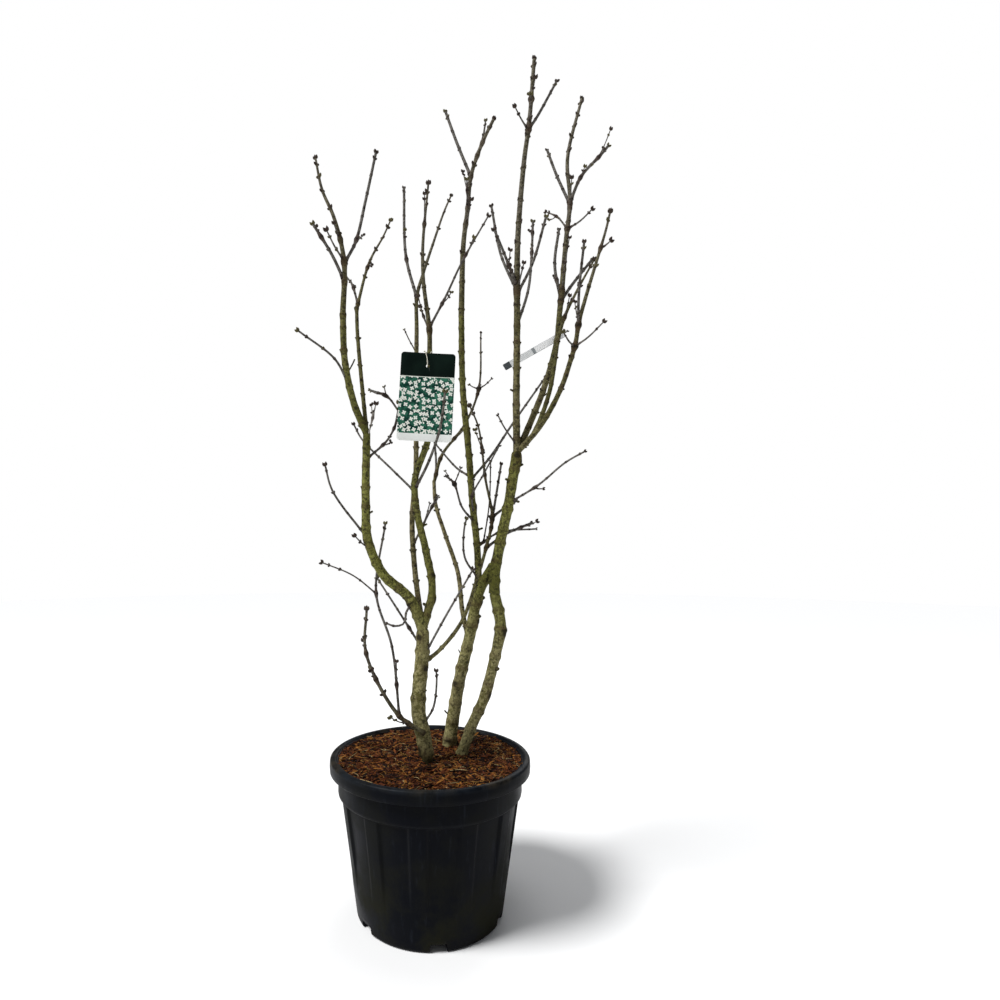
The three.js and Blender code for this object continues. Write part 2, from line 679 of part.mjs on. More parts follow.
// A closed loop of wire: a torus whose rings are laid along a closed curve
function tieSolid() {
  const path = tiePath();
  const { wire, rings, sides } = TIE;
  const torus = new THREE.TorusGeometry(10, 1, sides, rings);
  torus.deleteAttribute('normal');
  torus.deleteAttribute('uv');
  const loop = mergeVertices(torus, 1e-3);
  const frames = path.computeFrenetFrames(rings, true);
  const at = loop.attributes.position;
  for (let i = 0; i < at.count; i += 1) {
    const [x, y, z] = [at.getX(i), at.getY(i), at.getZ(i)];
    const ring = (Math.round((Math.atan2(y, x) / (2 * Math.PI)) * rings) + rings) % rings;
    const out = Math.hypot(x, y) - 10;
    const point = path.getPointAt(ring / rings);
    point.addScaledVector(frames.normals[ring], out * wire);
    point.addScaledVector(frames.binormals[ring], -z * wire);
    at.setXYZ(i, point.x, point.y, point.z);
  }
  return clearOfLimbs(solidOf(loop));
}

// The strip passes behind the right back bough, and a spur of that bough holds it by a hole.
function stripSolid() {
  const band = new THREE.BoxGeometry(STRIP.length, STRIP.thickness, STRIP.width);
  band.rotateY(-THREE.MathUtils.degToRad(STRIP.rise)).translate(...STRIP.middle);
  const row = TWIGS.twigs_label_spur;
  const spur = growFrom(limbs[row.on].path, row.at, row.runs);
  const hole = limbSolid(spur, () => row.girth[0] * 0.6 + GAP, 6, 2);
  return clearOfLimbs(solidOf(band).subtract(hole));
}

// Assembly

const group = new THREE.Group();

function put(name, solid, finish) {
  group.add(meshOf(name, solid, finish));
}

const BARK = material(COLOURS.bark, 0.9);
const OLIVE = material(COLOURS.olive, 0.85);
const SHOOT = material(COLOURS.shoot, 0.8);

put('pot', potSolid(), material(COLOURS.plastic, 0.5));
put('soil', soilSolid(), material(COLOURS.soil, 1));

for (const [name, row] of Object.entries(STEMS)) addStem(name, row);
for (const [name, row] of Object.entries(BOUGHS)) addBough(name, row);
for (const name of Object.keys(STEMS)) put(name, limbs[name].solid, BARK);
for (const name of Object.keys(BOUGHS)) put(name, limbs[name].solid, OLIVE);

put('picture_card', cardSolid(), material(COLOURS.card, 0.5));
put('card_tie', tieSolid(), material(COLOURS.tie, 0.6));
put('strip_label', stripSolid(), material(COLOURS.strip, 0.5));

for (const [name, limb] of Object.entries(limbs)) noteLine(name, limb.path);
Object.entries(TWIGS).forEach(([name, row], index) => put(name, twigMass(name, row, index * 101), SHOOT));

export default group;
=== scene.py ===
import math
from functools import lru_cache

import bmesh
import bpy
import numpy as np
from mathutils import Matrix, Vector, noise


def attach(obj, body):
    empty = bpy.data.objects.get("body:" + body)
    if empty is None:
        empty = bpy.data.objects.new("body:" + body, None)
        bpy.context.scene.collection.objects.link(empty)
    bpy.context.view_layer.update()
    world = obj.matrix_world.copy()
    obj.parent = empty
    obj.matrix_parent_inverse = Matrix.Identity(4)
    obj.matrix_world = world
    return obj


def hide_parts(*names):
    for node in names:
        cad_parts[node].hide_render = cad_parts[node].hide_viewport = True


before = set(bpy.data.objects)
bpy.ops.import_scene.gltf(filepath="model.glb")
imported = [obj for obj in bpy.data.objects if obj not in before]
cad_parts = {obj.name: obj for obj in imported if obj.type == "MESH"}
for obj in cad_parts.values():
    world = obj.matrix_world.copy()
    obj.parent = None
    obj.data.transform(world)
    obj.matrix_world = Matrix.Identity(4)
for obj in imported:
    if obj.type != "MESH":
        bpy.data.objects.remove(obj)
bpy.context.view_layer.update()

MM = 0.001
FRONT = -90

# Camera: the photograph's own view, from the height of the lower boughs and tipped up a little
CAMERA = dict(place=(0.0, -1.631, 0.909), tip=95.6, lens=21.02, sensor=36, shift=0.07, reach=60)


def in_scene(name, data):
    """A new object in the scene that shows the data."""
    thing = bpy.data.objects.new(name, data)
    bpy.context.scene.collection.objects.link(thing)
    return thing


def add_camera():
    data = bpy.data.cameras.new("camera")
    data.lens = CAMERA["lens"]
    data.sensor_width = CAMERA["sensor"]
    data.shift_x = CAMERA["shift"]
    data.clip_end = CAMERA["reach"]
    camera = in_scene("camera", data)
    camera.location = CAMERA["place"]
    camera.rotation_euler = (math.radians(CAMERA["tip"]), 0, 0)
    bpy.context.scene.camera = camera


add_camera()

# Driving dimensions, in millimetres
SOIL_TOP = 368
POT = dict(
    base=191, foot=183, foot_round=8, body_top=294, body_top_radius=236,
    collar=243, collar_top=352, rim=266, rim_top=386, lip=4, wall=7, floor=23,
)
FLUTES = dict(count=12, first=8, half=9, flank=1.3, depth=5.6, top=290, bottom=60, fade=200)
MOUTH = dict(radius=247, bottom=366)
NOTCHES = dict(count=6, first=6, width=40, height=20, inner=150, round=3.5)
CARD = dict(
    width=147, height=243, thickness=1.2, corner=9, turn=3, middle=(-10, -97, 1338), bow=2.0,
    strips=12, edge=0.35,
)
CARD_HOLE = dict(width=10, height=8, depth=12, corner=3.2, below=36)
STRIP = dict(
    length=208, width=20, thickness=1, corner=3, rise=30, middle=(311, 61.5, 1523), strips=9, edge=0.3,
)
TIE_WIRE = 1.2
# How much wider each stem is at the soil, as a share of its girth and narrower where it is below 0,
# how high that reaches and how one-sided it is
FLARE = dict(stem_left=-0.52, stem_middle=0.02, stem_right=0.06, height=64, one_sided=0.6)
STEM_SUNK = 15
ROOT_SUNK = 8

# The limbs' rows, as the solids have them: a run is [length, lean to the right, lean to the back],
# a girth is a diameter at the foot and at the tip, and a shoot is [what it grows on, share, runs].
# A mass that gives no girth has SIDE_GIRTH, and the long shoots of a slim one are thin.
SIDE_GIRTH = (6.5, 5)
STEMS = {
    "stem_left": dict(
        foot=[-8, -50], girth=[41, 34],
        runs=[[75, -5, -1], [80, -11, -1], [70, 2, 0], [70, 5, -1], [80, 2, -1]],
    ),
    "stem_middle": dict(
        foot=[50, 90], girth=[38, 27],
        runs=[[100, 9, -2], [125, 10, -2], [110, 14, -2], [130, 12, -3], [85, 27, -19]],
    ),
    "stem_right": dict(
        foot=[76, 10], girth=[28, 30],
        runs=[[105, 21, 1], [75, 25, 2], [105, 17, 3], [105, 11, 2], [95, -10, 3]],
    ),
}

BOUGHS = {
    "bough_left_lower": dict(
        on="stem_left", at=1, girth=[28, 19],
        runs=[[80, -25, -6], [100, -47, -9], [100, -23, -11], [95, -3, -9], [190, 1, -7]],
    ),
    "bough_left_upper": dict(
        on="bough_left_lower", at=1, girth=[19, 15.5], runs=[[75, -26, -7], [110, -12, -11], [130, -2, -9]],
    ),
    "bough_left_inner": dict(
        on="bough_left_lower", at=1, girth=[11.5, 10], runs=[[120, -8, 14], [185, -7, 16], [90, -4, 13]],
    ),
    "bough_centre_front": dict(
        on="stem_left", at=1, girth=[21, 15],
        runs=[[100, 14, -2], [100, -9, -1], [115, -13, -1], [85, -3, -1], [135, 17, -2], [232, 0, -2]],
    ),
    "bough_centre_back": dict(
        on="stem_left", at=1, girth=[15, 13],
        runs=[[130, -9, 7], [155, -4, 6], [130, 4, 9], [235, 0, 10], [245, 0, 10]],
    ),
    "bough_cross": dict(
        on="stem_left", at=0.74, girth=[11, 9],
        runs=[[58, 55, 13], [100, 40, 12], [120, 21, 8], [85, 18, 8]],
    ),
    "bough_back": dict(
        on="stem_middle", at=0.592, girth=[14, 11],
        runs=[[85, -12, 14], [110, -6, 8], [130, -18, 8], [90, -17, 9], [80, -4, 9]],
    ),
    "bough_tall_middle": dict(
        on="stem_middle", at=0.845, girth=[20, 17],
        runs=[[125, -2, -5], [140, -6, -6], [130, -4, -4], [200, -5, -2], [220, -1, -2]],
    ),
    "bough_right_lower": dict(
        on="stem_right", at=1, girth=[30, 27],
        runs=[[47, 4, -1], [95, 10, -6], [107, 11, -16], [152, 9, -8]],
    ),
    "bough_tallest": dict(on="bough_right_lower", at=1, girth=[20, 18], runs=[[105, -1, -2], [230, 1, -2]]),
    "bough_right_back": dict(
        on="bough_right_lower", at=1, girth=[18, 16.5],
        runs=[[90, 27, 16], [145, 23, 16], [145, 17, 10], [110, 8, 7]],
    ),
    "bough_right_thin": dict(
        on="bough_right_lower", at=1, girth=[13.5, 11.5], runs=[[55, 47, -2], [135, 23, 6], [175, 11, 4]],
    ),
    "bough_right_front": dict(
        on="bough_right_lower", at=1, girth=[15.5, 12.5],
        runs=[[92, 44, -20], [110, 28, -19], [100, 17, -20]],
    ),
}

TWIGS = {
    "twigs_left_upper": dict(
        on="bough_left_upper", at=1, girth=[15.5, 5.5],
        runs=[[125, 2, -9], [110, -13, -8], [80, -23, -4], [85, -12, -3]],
        shoots=[
            [0, 0.2, [70, -26, -16], [85, -34, -21]],
            [0, 0.33, [82, -36, -42]],
            [0, 0.31, [70, 23, 8], [125, 10, 9], [160, 9, 8]],
            [0, 0.46, [40, -23, -30]],
        ],
    ),
    "twigs_left_inner": dict(
        on="bough_left_inner", at=1, girth=[9.5, 4.5], runs=[[155, 12, 12], [105, 22, 14], [60, 20, 10]],
        shoots=[[0, 0.05, [75, -17, 14], [35, -33, 14], [40, -4, 14]]],
    ),
    "twigs_centre_front": dict(
        on="bough_centre_front", at=1, girth=[14, 5.5], slim=True,
        runs=[[54, -1, -2], [135, -7, -4], [95, -1, -6], [175, 5, -5]],
        shoots=[
            [0, 0.14, [95, 28, -6], [110, 25, -3], [140, 31, -10]],
            [0, 0.12, [85, -18, 14]],
        ],
    ),
    "twigs_centre_back": dict(
        on="bough_centre_back", at=1, girth=[12.5, 5.5],
        runs=[[100, 0, 10], [100, 12, 17], [120, 15, 15], [140, 16, 13], [70, 20, 12]],
        shoots=[[0, 0.195, [160, -13, 11], [250, -2, 7]]],
    ),
    "twigs_cross": dict(
        on="bough_cross", at=1, girth=[9, 4.5],
        runs=[[95, 13, 8], [115, -10, -8], [145, -8, -8], [65, -22, -4]],
        shoots=[
            [0, 0.23, [85, 11, 13], [90, 11, 13]],
            [0, 0.25, [65, 54, 40], [65, 60, 39]],
            [0, 0.04, [85, 57, 32], [105, 67, 28]],
        ],
    ),
    "twigs_back": dict(
        on="bough_back", at=1, girth=[10.5, 4.5],
        runs=[[85, 18, 8], [115, 37, -4], [120, 22, -5], [190, 3, 3]],
        shoots=[
            [0, 0.05, [50, 0, 12], [140, -4, 10], [105, 4, 8]],
            [0, 0.64, [36, -60, 20]],
            [0, 0.64, [52, 55, -20]],
        ],
    ),
    "twigs_tall_middle": dict(
        on="bough_tall_middle", at=1, girth=[17.5, 9.5],
        runs=[[215, 2, -2], [100, 7, -2], [110, 6, -2], [95, 20, -12], [75, 27, -11]],
        shoots=[
            [0, 0.71, [130, -18, 9], [126, -16, 9]],
            [0, 0.55, [75, -5, -37]],
            [0, 0.88, [64, 8, -8]],
        ],
    ),
    "twigs_tallest": dict(
        on="bough_tallest", at=1, girth=[18.5, 10.5],
        runs=[[265, 1, -2], [240, 5, -2], [105, 8, -2], [200, 5, -2]],
        shoots=[
            [0, 0.03, [140, 18, 19], [125, 9, 19], [140, 5, 12]],
            [0, 0.14, [95, 27, -16], [125, 16, -14]],
            [0, 0.15, [135, -18, 12], [180, -7, 13]],
            [0, 0.165, [90, -28, -27], [75, -26, -16]],
            [0, 0.19, [45, -37, -34]],
            [0, 0.16, [70, 14, -30]],
            [0, 0.735, [70, -43, -27]],
            [0, 0.735, [65, 29, 12], [145, 26, 9]],
        ],
    ),
    "twigs_right_back": dict(
        on="bough_right_back", at=1, girth=[17, 9],
        runs=[[55, 8, 7], [185, 7, 6], [135, 8, 6], [150, -1, 3], [230, 14, 4]],
        shoots=[
            [0, 0.05, [140, -3, 17], [150, 10, 16]],
            [0, 0.045, [80, 32, 24], [150, 36, 19]],
            [0, 0.375, [68, -24, 24], [46, -48, 24]],
            [0, 0.375, [88, 60, -28]],
            [0, 0.49, [120, -17, 11], [110, -13, 12]],
            [0, 0.5, [80, 24, -20], [75, 46, -18], [40, 43, -15]],
        ],
    ),
    "twigs_right_thin": dict(
        on="bough_right_thin", at=1, girth=[11, 5], runs=[[60, 17, -8], [75, 25, -18], [95, 29, -17]],
    ),
    "twigs_right_front": dict(
        on="bough_right_front", at=1, girth=[12.5, 5.5],
        runs=[[25, 12, -18], [50, 7, -16], [65, 14, -14], [100, 16, -12], [75, 16, -10], [45, 12, -13]],
        shoots=[
            [0, 0.06, [40, 62, -37], [55, 47, -22]],
            [0, 0.06, [70, -66, -49]],
            [0, 0.2, [85, -5, -29], [120, 3, -19]],
            [0, 0.75, [30, 58, -20]],
        ],
    ),
    "twigs_low_left": dict(
        on="stem_left", at=0.27, girth=[11.5, 6.5],
        runs=[[28, -10, -70], [75, -54, -7], [180, -27, -9], [115, 1, -10]],
        shoots=[
            [0, 0.25, [175, -7, 5], [145, -18, 8], [195, 6, 12]],
            [1, 0.62, [80, -51, -15], [90, -66, -19]],
        ],
    ),
    "twigs_mid_left": dict(on="stem_left", at=0.845, runs=[[135, -34, 12], [100, -36, 24]]),
    "twigs_low_right": dict(on="stem_left", at=0.31, runs=[[60, 32, -12], [78, 7, -14], [25, -3, -11]]),
    "twigs_cross_low": dict(on="stem_left", at=0.765, runs=[[125, 28, -12], [155, 31, 4]]),
    "twigs_west": dict(on="bough_left_lower", at=0.505, runs=[[155, -36, -11], [70, -16, -8]]),
    "twigs_west_short": dict(on="bough_left_lower", at=0.46, girth=[5.5, 4.4], runs=[[58, -50, -33]]),
    "twigs_curled": dict(
        on="bough_left_lower", at=0.13,
        runs=[[30, -140, -34], [32, -168, -12], [24, -105, -14], [24, -72, -12]],
    ),
    "twigs_inner_left": dict(on="bough_left_lower", at=0.868, runs=[[85, 42, 24], [85, 22, 27]]),
    "twigs_pale": dict(on="bough_left_lower", at=0.955, girth=[5.5, 4.4], runs=[[98, 17, -22]]),
    "twigs_far_left": dict(on="bough_left_upper", at=0.4, runs=[[76, -28, -21], [115, -56, -24]]),
    "twigs_behind_left": dict(
        on="bough_centre_back", at=0.42, runs=[[95, -45, 10], [130, -44, 14], [55, -29, 10]],
    ),
    "twigs_centre_low": dict(on="bough_centre_back", at=0.25, runs=[[65, 26, 0], [92, 26, 8]]),
    "twigs_before_card": dict(
        on="bough_centre_front", at=0.49, runs=[[90, 28, -22], [95, 19, -16], [92, 8, -8]],
    ),
    "twigs_behind_card": dict(
        on="bough_centre_back", at=0.615,
        runs=[[80, -41, -18], [50, -40, -19], [55, -72, -16]],
        shoots=[[0, 0.72, [35, -14, 20]]],
    ),
    "twigs_above_card": dict(on="bough_centre_back", at=0.9, girth=[5.5, 4.4], runs=[[95, -25, 16]]),
    "twigs_label_spur": dict(on="bough_right_back", at=0.83, girth=[6, 4], runs=[[42, 62, 22]]),
    "twigs_fork_left": dict(
        on="bough_tall_middle", at=0.049, runs=[[75, -34, -17], [80, -2, -11], [35, 11, -24]],
    ),
    "twigs_middle_left": dict(
        on="bough_tall_middle", at=0.25,
        runs=[[60, -43, -25], [75, -20, -19], [35, -53, -25]],
        shoots=[[0, 0.78, [50, 22, -10]]],
    ),
    "twigs_middle_front": dict(
        on="bough_tall_middle", at=0.28, girth=[5.5, 4.4],
        runs=[[65, -7, -41], [65, 28, -13], [95, 29, -3]],
    ),
    "twigs_middle_west": dict(on="bough_tall_middle", at=0.411, runs=[[50, -54, 27], [105, -39, 17]]),
    "twigs_middle_east": dict(
        on="bough_tall_middle", at=0.399, girth=[7.5, 6],
        runs=[[90, 40, 9], [125, 34, 9], [105, 35, 11], [90, 35, 13]],
    ),
    "twigs_behind_right": dict(
        on="bough_tall_middle", at=0.162, runs=[[80, 58, 13], [120, 84, 14]],
        shoots=[[0, 0.12, [110, 8, -12], [130, 3, 4]]],
    ),
    "twigs_right_low": dict(
        on="bough_right_lower", at=0.635,
        runs=[[97, 59, -27], [95, 50, -21], [60, 61, -24]],
        shoots=[[0, 0.34, [25, 100, -20]]],
    ),
    "twigs_tallest_foot": dict(on="bough_tallest", at=0.06, runs=[[70, -42, -32], [40, -34, -30]]),
}

SPUR = dict(
    nodes=75, chance=0.16, short=25, long=85, girth=(4.4, 3.6),
    spread=46, swing=22, lift=0.12, reach=60, clear=9,
)
SHOOT_GIRTH = dict(most=7, share=0.8, tip=4.4)
LONG_SHOOT = dict(above=150, most=8.4, share=0.68, taper=0.85)
SAG = 0.09

# Stubs where twigs broke or were cut off: [limb, share, lean, back, length, girth]
STUBS = [
    ["stem_middle", 0.178, -48, -12, 17, 4],
    ["stem_middle", 0.473, -30, 8, 16, 3],
    ["stem_middle", 0.676, 58, -18, 13, 9],
    ["stem_middle", 0.777, 66, -8, 12, 9],
    ["stem_right", 0.10, 62, 30, 34, 5],
    ["stem_right", 0.55, 78, -40, 9, 9],
    ["stem_left", 0.55, 70, -40, 8, 7],
    ["bough_left_lower", 0.14, -62, -20, 15, 9],
    ["bough_left_lower", 0.62, 74, -30, 12, 5],
    ["bough_left_upper", 0.50, 26, 8, 38, 4],
    ["bough_centre_front", 0.08, -60, -30, 12, 8],
    ["bough_centre_front", 0.36, 70, 10, 12, 5],
    ["bough_tall_middle", 0.22, 76, -25, 14, 6],
    ["bough_right_lower", 0.78, -70, -25, 11, 6],
    ["bough_right_lower", 0.88, 72, -20, 12, 6],
    ["bough_tallest", 0.50, -74, -10, 10, 5],
    ["bough_right_back", 0.40, 70, -30, 12, 5],
]

# Swellings round old cuts and healed scars: [limb, share, lean, back, rise, reach]
KNOTS = [
    ["stem_right", 0.41, 70, -30, 3.4, 16],
    ["stem_right", 0.76, 80, -45, 4.2, 20],
    ["stem_middle", 0.676, 70, -20, 4.6, 15],
    ["stem_middle", 0.777, 70, -10, 4.6, 14],
    ["stem_middle", 0.355, -60, -50, 1.8, 12],
    ["stem_middle", 0.075, -35, -70, 0.6, 7],
    ["stem_left", 0.16, -70, -30, 2.6, 22],
    ["stem_left", 0.72, 60, -40, 2.2, 16],
    ["stem_left", 0.93, -50, -50, 2.4, 16],
    ["bough_left_lower", 0.13, -60, -20, 3.2, 14],
    ["bough_left_lower", 0.50, -80, -20, 2.0, 12],
    ["bough_centre_front", 0.08, -60, -30, 3.0, 13],
    ["bough_centre_front", 0.105, 70, -15, 4.0, 12],
    ["bough_centre_front", 0.19, 40, -50, 2.0, 12],
    ["bough_right_lower", 0.97, 0, -60, 2.6, 18],
    ["bough_right_lower", 0.92, 84, -15, 5.0, 13],
    ["bough_left_inner", 0.985, 80, -20, 2.6, 9],
    ["bough_left_inner", 0.985, -80, -20, 2.6, 9],
    ["bough_left_upper", 0.97, 80, -20, 1.6, 9],
    ["bough_left_upper", 0.97, -80, -20, 1.6, 9],
    ["bough_tall_middle", 0.56, 80, -30, 2.6, 14],
    ["bough_tall_middle", 0.30, 80, -30, 2.6, 12],
    ["bough_right_lower", 0.78, -70, -25, 2.6, 13],
]


def at_heading(lean, back):
    """The direction that leans so far to the right and to the back."""
    side = math.radians(lean)
    depth = math.radians(back)
    flat = math.cos(depth)
    return np.array([flat * math.sin(side), math.sin(depth), flat * math.cos(side)])


def unit(vector):
    return vector / np.linalg.norm(vector)


# Paths, in millimetres

STEPS = 40


def curve_between(before, start, end, after):
    """One stretch of a centripetal curve, from start up to end, as points."""
    gaps = [math.sqrt(np.linalg.norm(b - a)) for a, b in ((before, start), (start, end), (end, after))]
    first, middle, last = gaps
    leave = (start - before) / first - (end - before) / (first + middle) + (end - start) / middle
    reach = (end - start) / middle - (after - start) / (middle + last) + (after - end) / last
    leave = leave * middle
    reach = reach * middle
    t = np.linspace(0, 1, STEPS, endpoint=False)[:, None]
    cubic = 2 * start - 2 * end + leave + reach
    square = 3 * end - 3 * start - 2 * leave - reach
    return start + leave * t + square * t**2 + cubic * t**3


class Path:
    """A smooth line through points, walked by its length."""

    def __init__(self, points, closed=False):
        points = [np.array(point, float) for point in points]
        if closed:
            ring = [points[-1], *points, points[0], points[1]]
        else:
            ring = [2 * points[0] - points[1], *points, 2 * points[-1] - points[-2]]
        stretches = [curve_between(*ring[i:i + 4]) for i in range(len(ring) - 3)]
        self.points = np.vstack([*stretches, ring[-2]])
        steps = np.linalg.norm(np.diff(self.points, axis=0), axis=1)
        self.walked = np.concatenate([[0], np.cumsum(steps)])
        self.length = self.walked[-1]

    def at(self, share):
        walk = np.asarray(share) * self.length
        axes = [np.interp(walk, self.walked, self.points[:, axis]) for axis in range(3)]
        return np.stack(axes, axis=-1)

    def heading(self, share):
        step = 0.5 / self.length
        ahead = self.at(np.minimum(np.asarray(share) + step, 1))
        behind = self.at(np.maximum(np.asarray(share) - step, 0))
        return (ahead - behind) / np.linalg.norm(ahead - behind, axis=-1, keepdims=True)


def sagged(start, end, length):
    """The middle of a single run, a little low, as on a shoot that turns up to the light."""
    middle = (start + end) / 2
    level = math.hypot(end[0] - start[0], end[1] - start[1]) / length
    middle[2] -= SAG * length * level
    return middle


def path_of(start, runs, root=None):
    points = [np.array(start, float)]
    for length, lean, back in runs:
        end = points[-1] + length * at_heading(lean, back)
        if len(runs) == 1:
            points.append(sagged(points[-1], end, length))
        points.append(end)
    if root is not None:
        points[0] = root
    return Path(points)


def grow_from(parent, share, runs):
    """A path from a place on its parent; one that grows from the tip is rooted a little below it."""
    sunk = ROOT_SUNK / parent.length if share == 1 else 0
    return path_of(parent.at(share), runs, parent.at(share - sunk))


def mix(start, end, share):
    return start + (end - start) * share


def smooth(share):
    share = np.clip(share, 0, 1)
    return share * share * (3 - 2 * share)


def chance(seed):
    """A repeatable number between 0 and 1 for each seed."""
    wave = math.sin(seed * 127.1 + 11.7) * 43758.5453
    return wave - math.floor(wave)


# Growth: the limbs, then each mass of twigs with its shoots and spurs


def grow_limbs():
    limbs = {}
    for name, row in STEMS.items():
        foot = np.array([*row["foot"], SOIL_TOP - STEM_SUNK])
        limbs[name] = path_of(foot, row["runs"])
    for name, row in BOUGHS.items():
        limbs[name] = grow_from(limbs[row["on"]], row["at"], row["runs"])
    return limbs


LIMBS = grow_limbs()
LINE_STEP = 12
LINES = []


def note_line(path):
    """Keeps points of a line that has grown, for the spurs to stay clear of."""
    steps = math.ceil(path.length / LINE_STEP)
    LINES.append(path.at(np.linspace(0, 1, steps + 1)))


def near_another(path, reach):
    """Whether a spur comes too close to a line that is already there, away from its own root."""
    own = path.at(np.linspace(0, 1, 9))[1:]
    root = path.at(0)
    others = np.vstack(LINES)
    others = others[np.linalg.norm(others - root, axis=1) > reach]
    gaps = np.linalg.norm(own[:, None] - others[None], axis=2)
    return gaps.min() < SPUR["clear"]


def spurs_on(twig, seed):
    """Short twigs in opposite pairs to the front and the back, with their places; some stay bare."""
    path = twig["path"]
    nodes = math.floor(path.length / SPUR["nodes"])
    for node in range(1, nodes + 1):
        share = node / (nodes + 0.6)
        along = path.heading(share)
        across = unit(np.cross([0, 1, 0], along))
        for half in (0, 1):
            key = seed + node * 7 + half * 3
            if chance(key) > SPUR["chance"]:
                continue
            turn = 90 + half * 180 + SPUR["swing"] * (chance(key + 0.3) - 0.5)
            out = np.array(Matrix.Rotation(math.radians(turn), 3, Vector(along)) @ Vector(across))
            heading = unit(mix(along, out, SPUR["spread"] / 90))
            reach = mix(SPUR["short"], SPUR["long"], chance(key + 0.5))
            start = path.at(share)
            end = start + heading * reach
            end[2] += reach * SPUR["lift"]
            yield share, Path([start, start + heading * reach * 0.5, end])


def shoot_girth(parent, share, long):
    """A shoot's girths at its foot and its tip, from its parent's girth there."""
    there = mix(*parent["girth"], share)
    if long:
        girth = min(LONG_SHOOT["most"], there * LONG_SHOOT["share"])
        return (girth, girth * LONG_SHOOT["taper"])
    return (min(SHOOT_GIRTH["most"], there * SHOOT_GIRTH["share"]), SHOOT_GIRTH["tip"])


def grow_mass(row, seed):
    """One mass: its leader, its shoots and the spurs that stay in its space and clear of others."""
    path = grow_from(LIMBS[row["on"]], row["at"], row["runs"])
    leader = dict(path=path, girth=row.get("girth", SIDE_GIRTH), kind="leader", on=None, share=None)
    family = [leader]
    for on, share, *runs in row.get("shoots", []):
        parent = family[on]
        path = grow_from(parent["path"], share, runs)
        girth = shoot_girth(parent, share, path.length > LONG_SHOOT["above"] and not row.get("slim"))
        family.append(dict(path=path, girth=girth, kind="shoot", on=on, share=share))
    spots = np.vstack([twig["path"].at(np.linspace(0, 1, 13)) for twig in family])
    low = spots.min(axis=0) - SPUR["reach"]
    high = spots.max(axis=0) + SPUR["reach"]
    for twig in family:
        note_line(twig["path"])
    spurs = []
    for index, twig in enumerate(family):
        for share, path in spurs_on(twig, seed + index * 31):
            tip = path.at(1)
            if (tip < low).any() or (tip > high).any() or near_another(path, SPUR["clear"] * 2):
                continue
            note_line(path)
            spurs.append(dict(path=path, girth=SPUR["girth"], kind="spur", on=index, share=share))
    return family + spurs


def grow_crown():
    for path in LIMBS.values():
        note_line(path)
    rows = enumerate(TWIGS.items())
    return {name: grow_mass(row, index * 101) for index, (name, row) in rows}


CROWN = grow_crown()

# Meshes: unit shapes are made by operators, laid in place, and joined


def shape_of(bm):
    """The corners and the faces of a bmesh, which is freed."""
    bm.verts.index_update()
    corners = np.array([corner.co[:] for corner in bm.verts])
    faces = [[corner.index for corner in face.verts] for face in bm.faces]
    bm.free()
    return corners, faces


@lru_cache(maxsize=None)
def unit_tube(sides, rings):
    """A closed tube of radius 1 with its rings a unit apart from 0 up: corners, faces and ring numbers."""
    bm = bmesh.new()
    bmesh.ops.create_cone(bm, cap_ends=True, segments=sides, radius1=1, radius2=1, depth=rings)
    if rings > 1:
        upright = [edge for edge in bm.edges if abs(edge.verts[0].co.z - edge.verts[1].co.z) > 0.5]
        bmesh.ops.subdivide_edges(bm, edges=upright, cuts=rings - 1)
    corners, faces = shape_of(bm)
    ring = np.rint(corners[:, 2] + rings / 2).astype(int)
    return corners, faces, ring


def ring_frames(path, shares):
    """Centres, headings and two cross directions of rings along a path, with no twist from ring to ring."""
    along = path.heading(shares)
    normal = unit(np.cross(along[0], [0.31, 0.9, 0.17]))
    normals = []
    for heading in along:
        normal = unit(normal - heading * normal.dot(heading))
        normals.append(normal)
    normals = np.array(normals)
    return path.at(shares), along, normals, np.cross(along, normals)


def laid_tube(path, walks, radius_at, sides):
    """A tube along a path with a ring at each walked distance. radius_at takes walks and angles."""
    corners, faces, ring = unit_tube(sides, len(walks) - 1)
    centres, _, normals, binormals = ring_frames(path, walks / path.length)
    angle = np.arctan2(corners[:, 1], corners[:, 0])
    out = normals[ring] * np.cos(angle)[:, None] + binormals[ring] * np.sin(angle)[:, None]
    radius = radius_at(walks[ring], angle)
    return (centres[ring] + out * radius[:, None]) * MM, faces


def marks_of(walks, sides, marks_at):
    """The marks on a tube's corners, from 0 to 1. marks_at takes walks and angles."""
    corners, _, ring = unit_tube(sides, len(walks) - 1)
    angle = np.arctan2(corners[:, 1], corners[:, 0])
    return np.clip(np.stack(marks_at(walks[ring], angle), axis=1), 0, 1)


def placed(shape, place, axes):
    """A unit shape set at a place, with its X, Y and Z laid along three scaled axes, all in millimetres."""
    corners, faces = shape
    return (corners @ np.array(axes) + place) * MM, faces


class Heap:
    """Closed shapes joined into one mesh, each with its material's number and its corners' marks."""

    def __init__(self):
        self.corners = []
        self.faces = []
        self.finishes = []
        self.marks = []
        self.count = 0

    def add(self, shape, finish=0, marks=(0, 0, 0, 0)):
        """Marks are how scarred, rusty, young and mossy the corners are, for all alike or one by one."""
        corners, faces = shape
        self.corners.append(corners)
        self.marks.append(np.broadcast_to(marks, (len(corners), 4)))
        self.faces.extend([index + self.count for index in face] for face in faces)
        self.finishes.extend([finish] * len(faces))
        self.count += len(corners)

    def mesh(self, name):
        mesh = bpy.data.meshes.new(name)
        mesh.from_pydata(np.vstack(self.corners), [], self.faces)
        mesh.polygons.foreach_set("material_index", self.finishes)
        for mark, values in zip(("scar", "rust", "young", "moss"), np.concatenate(self.marks).T):
            mesh.attributes.new(mark, "FLOAT", "POINT").data.foreach_set("value", values)
        return mesh


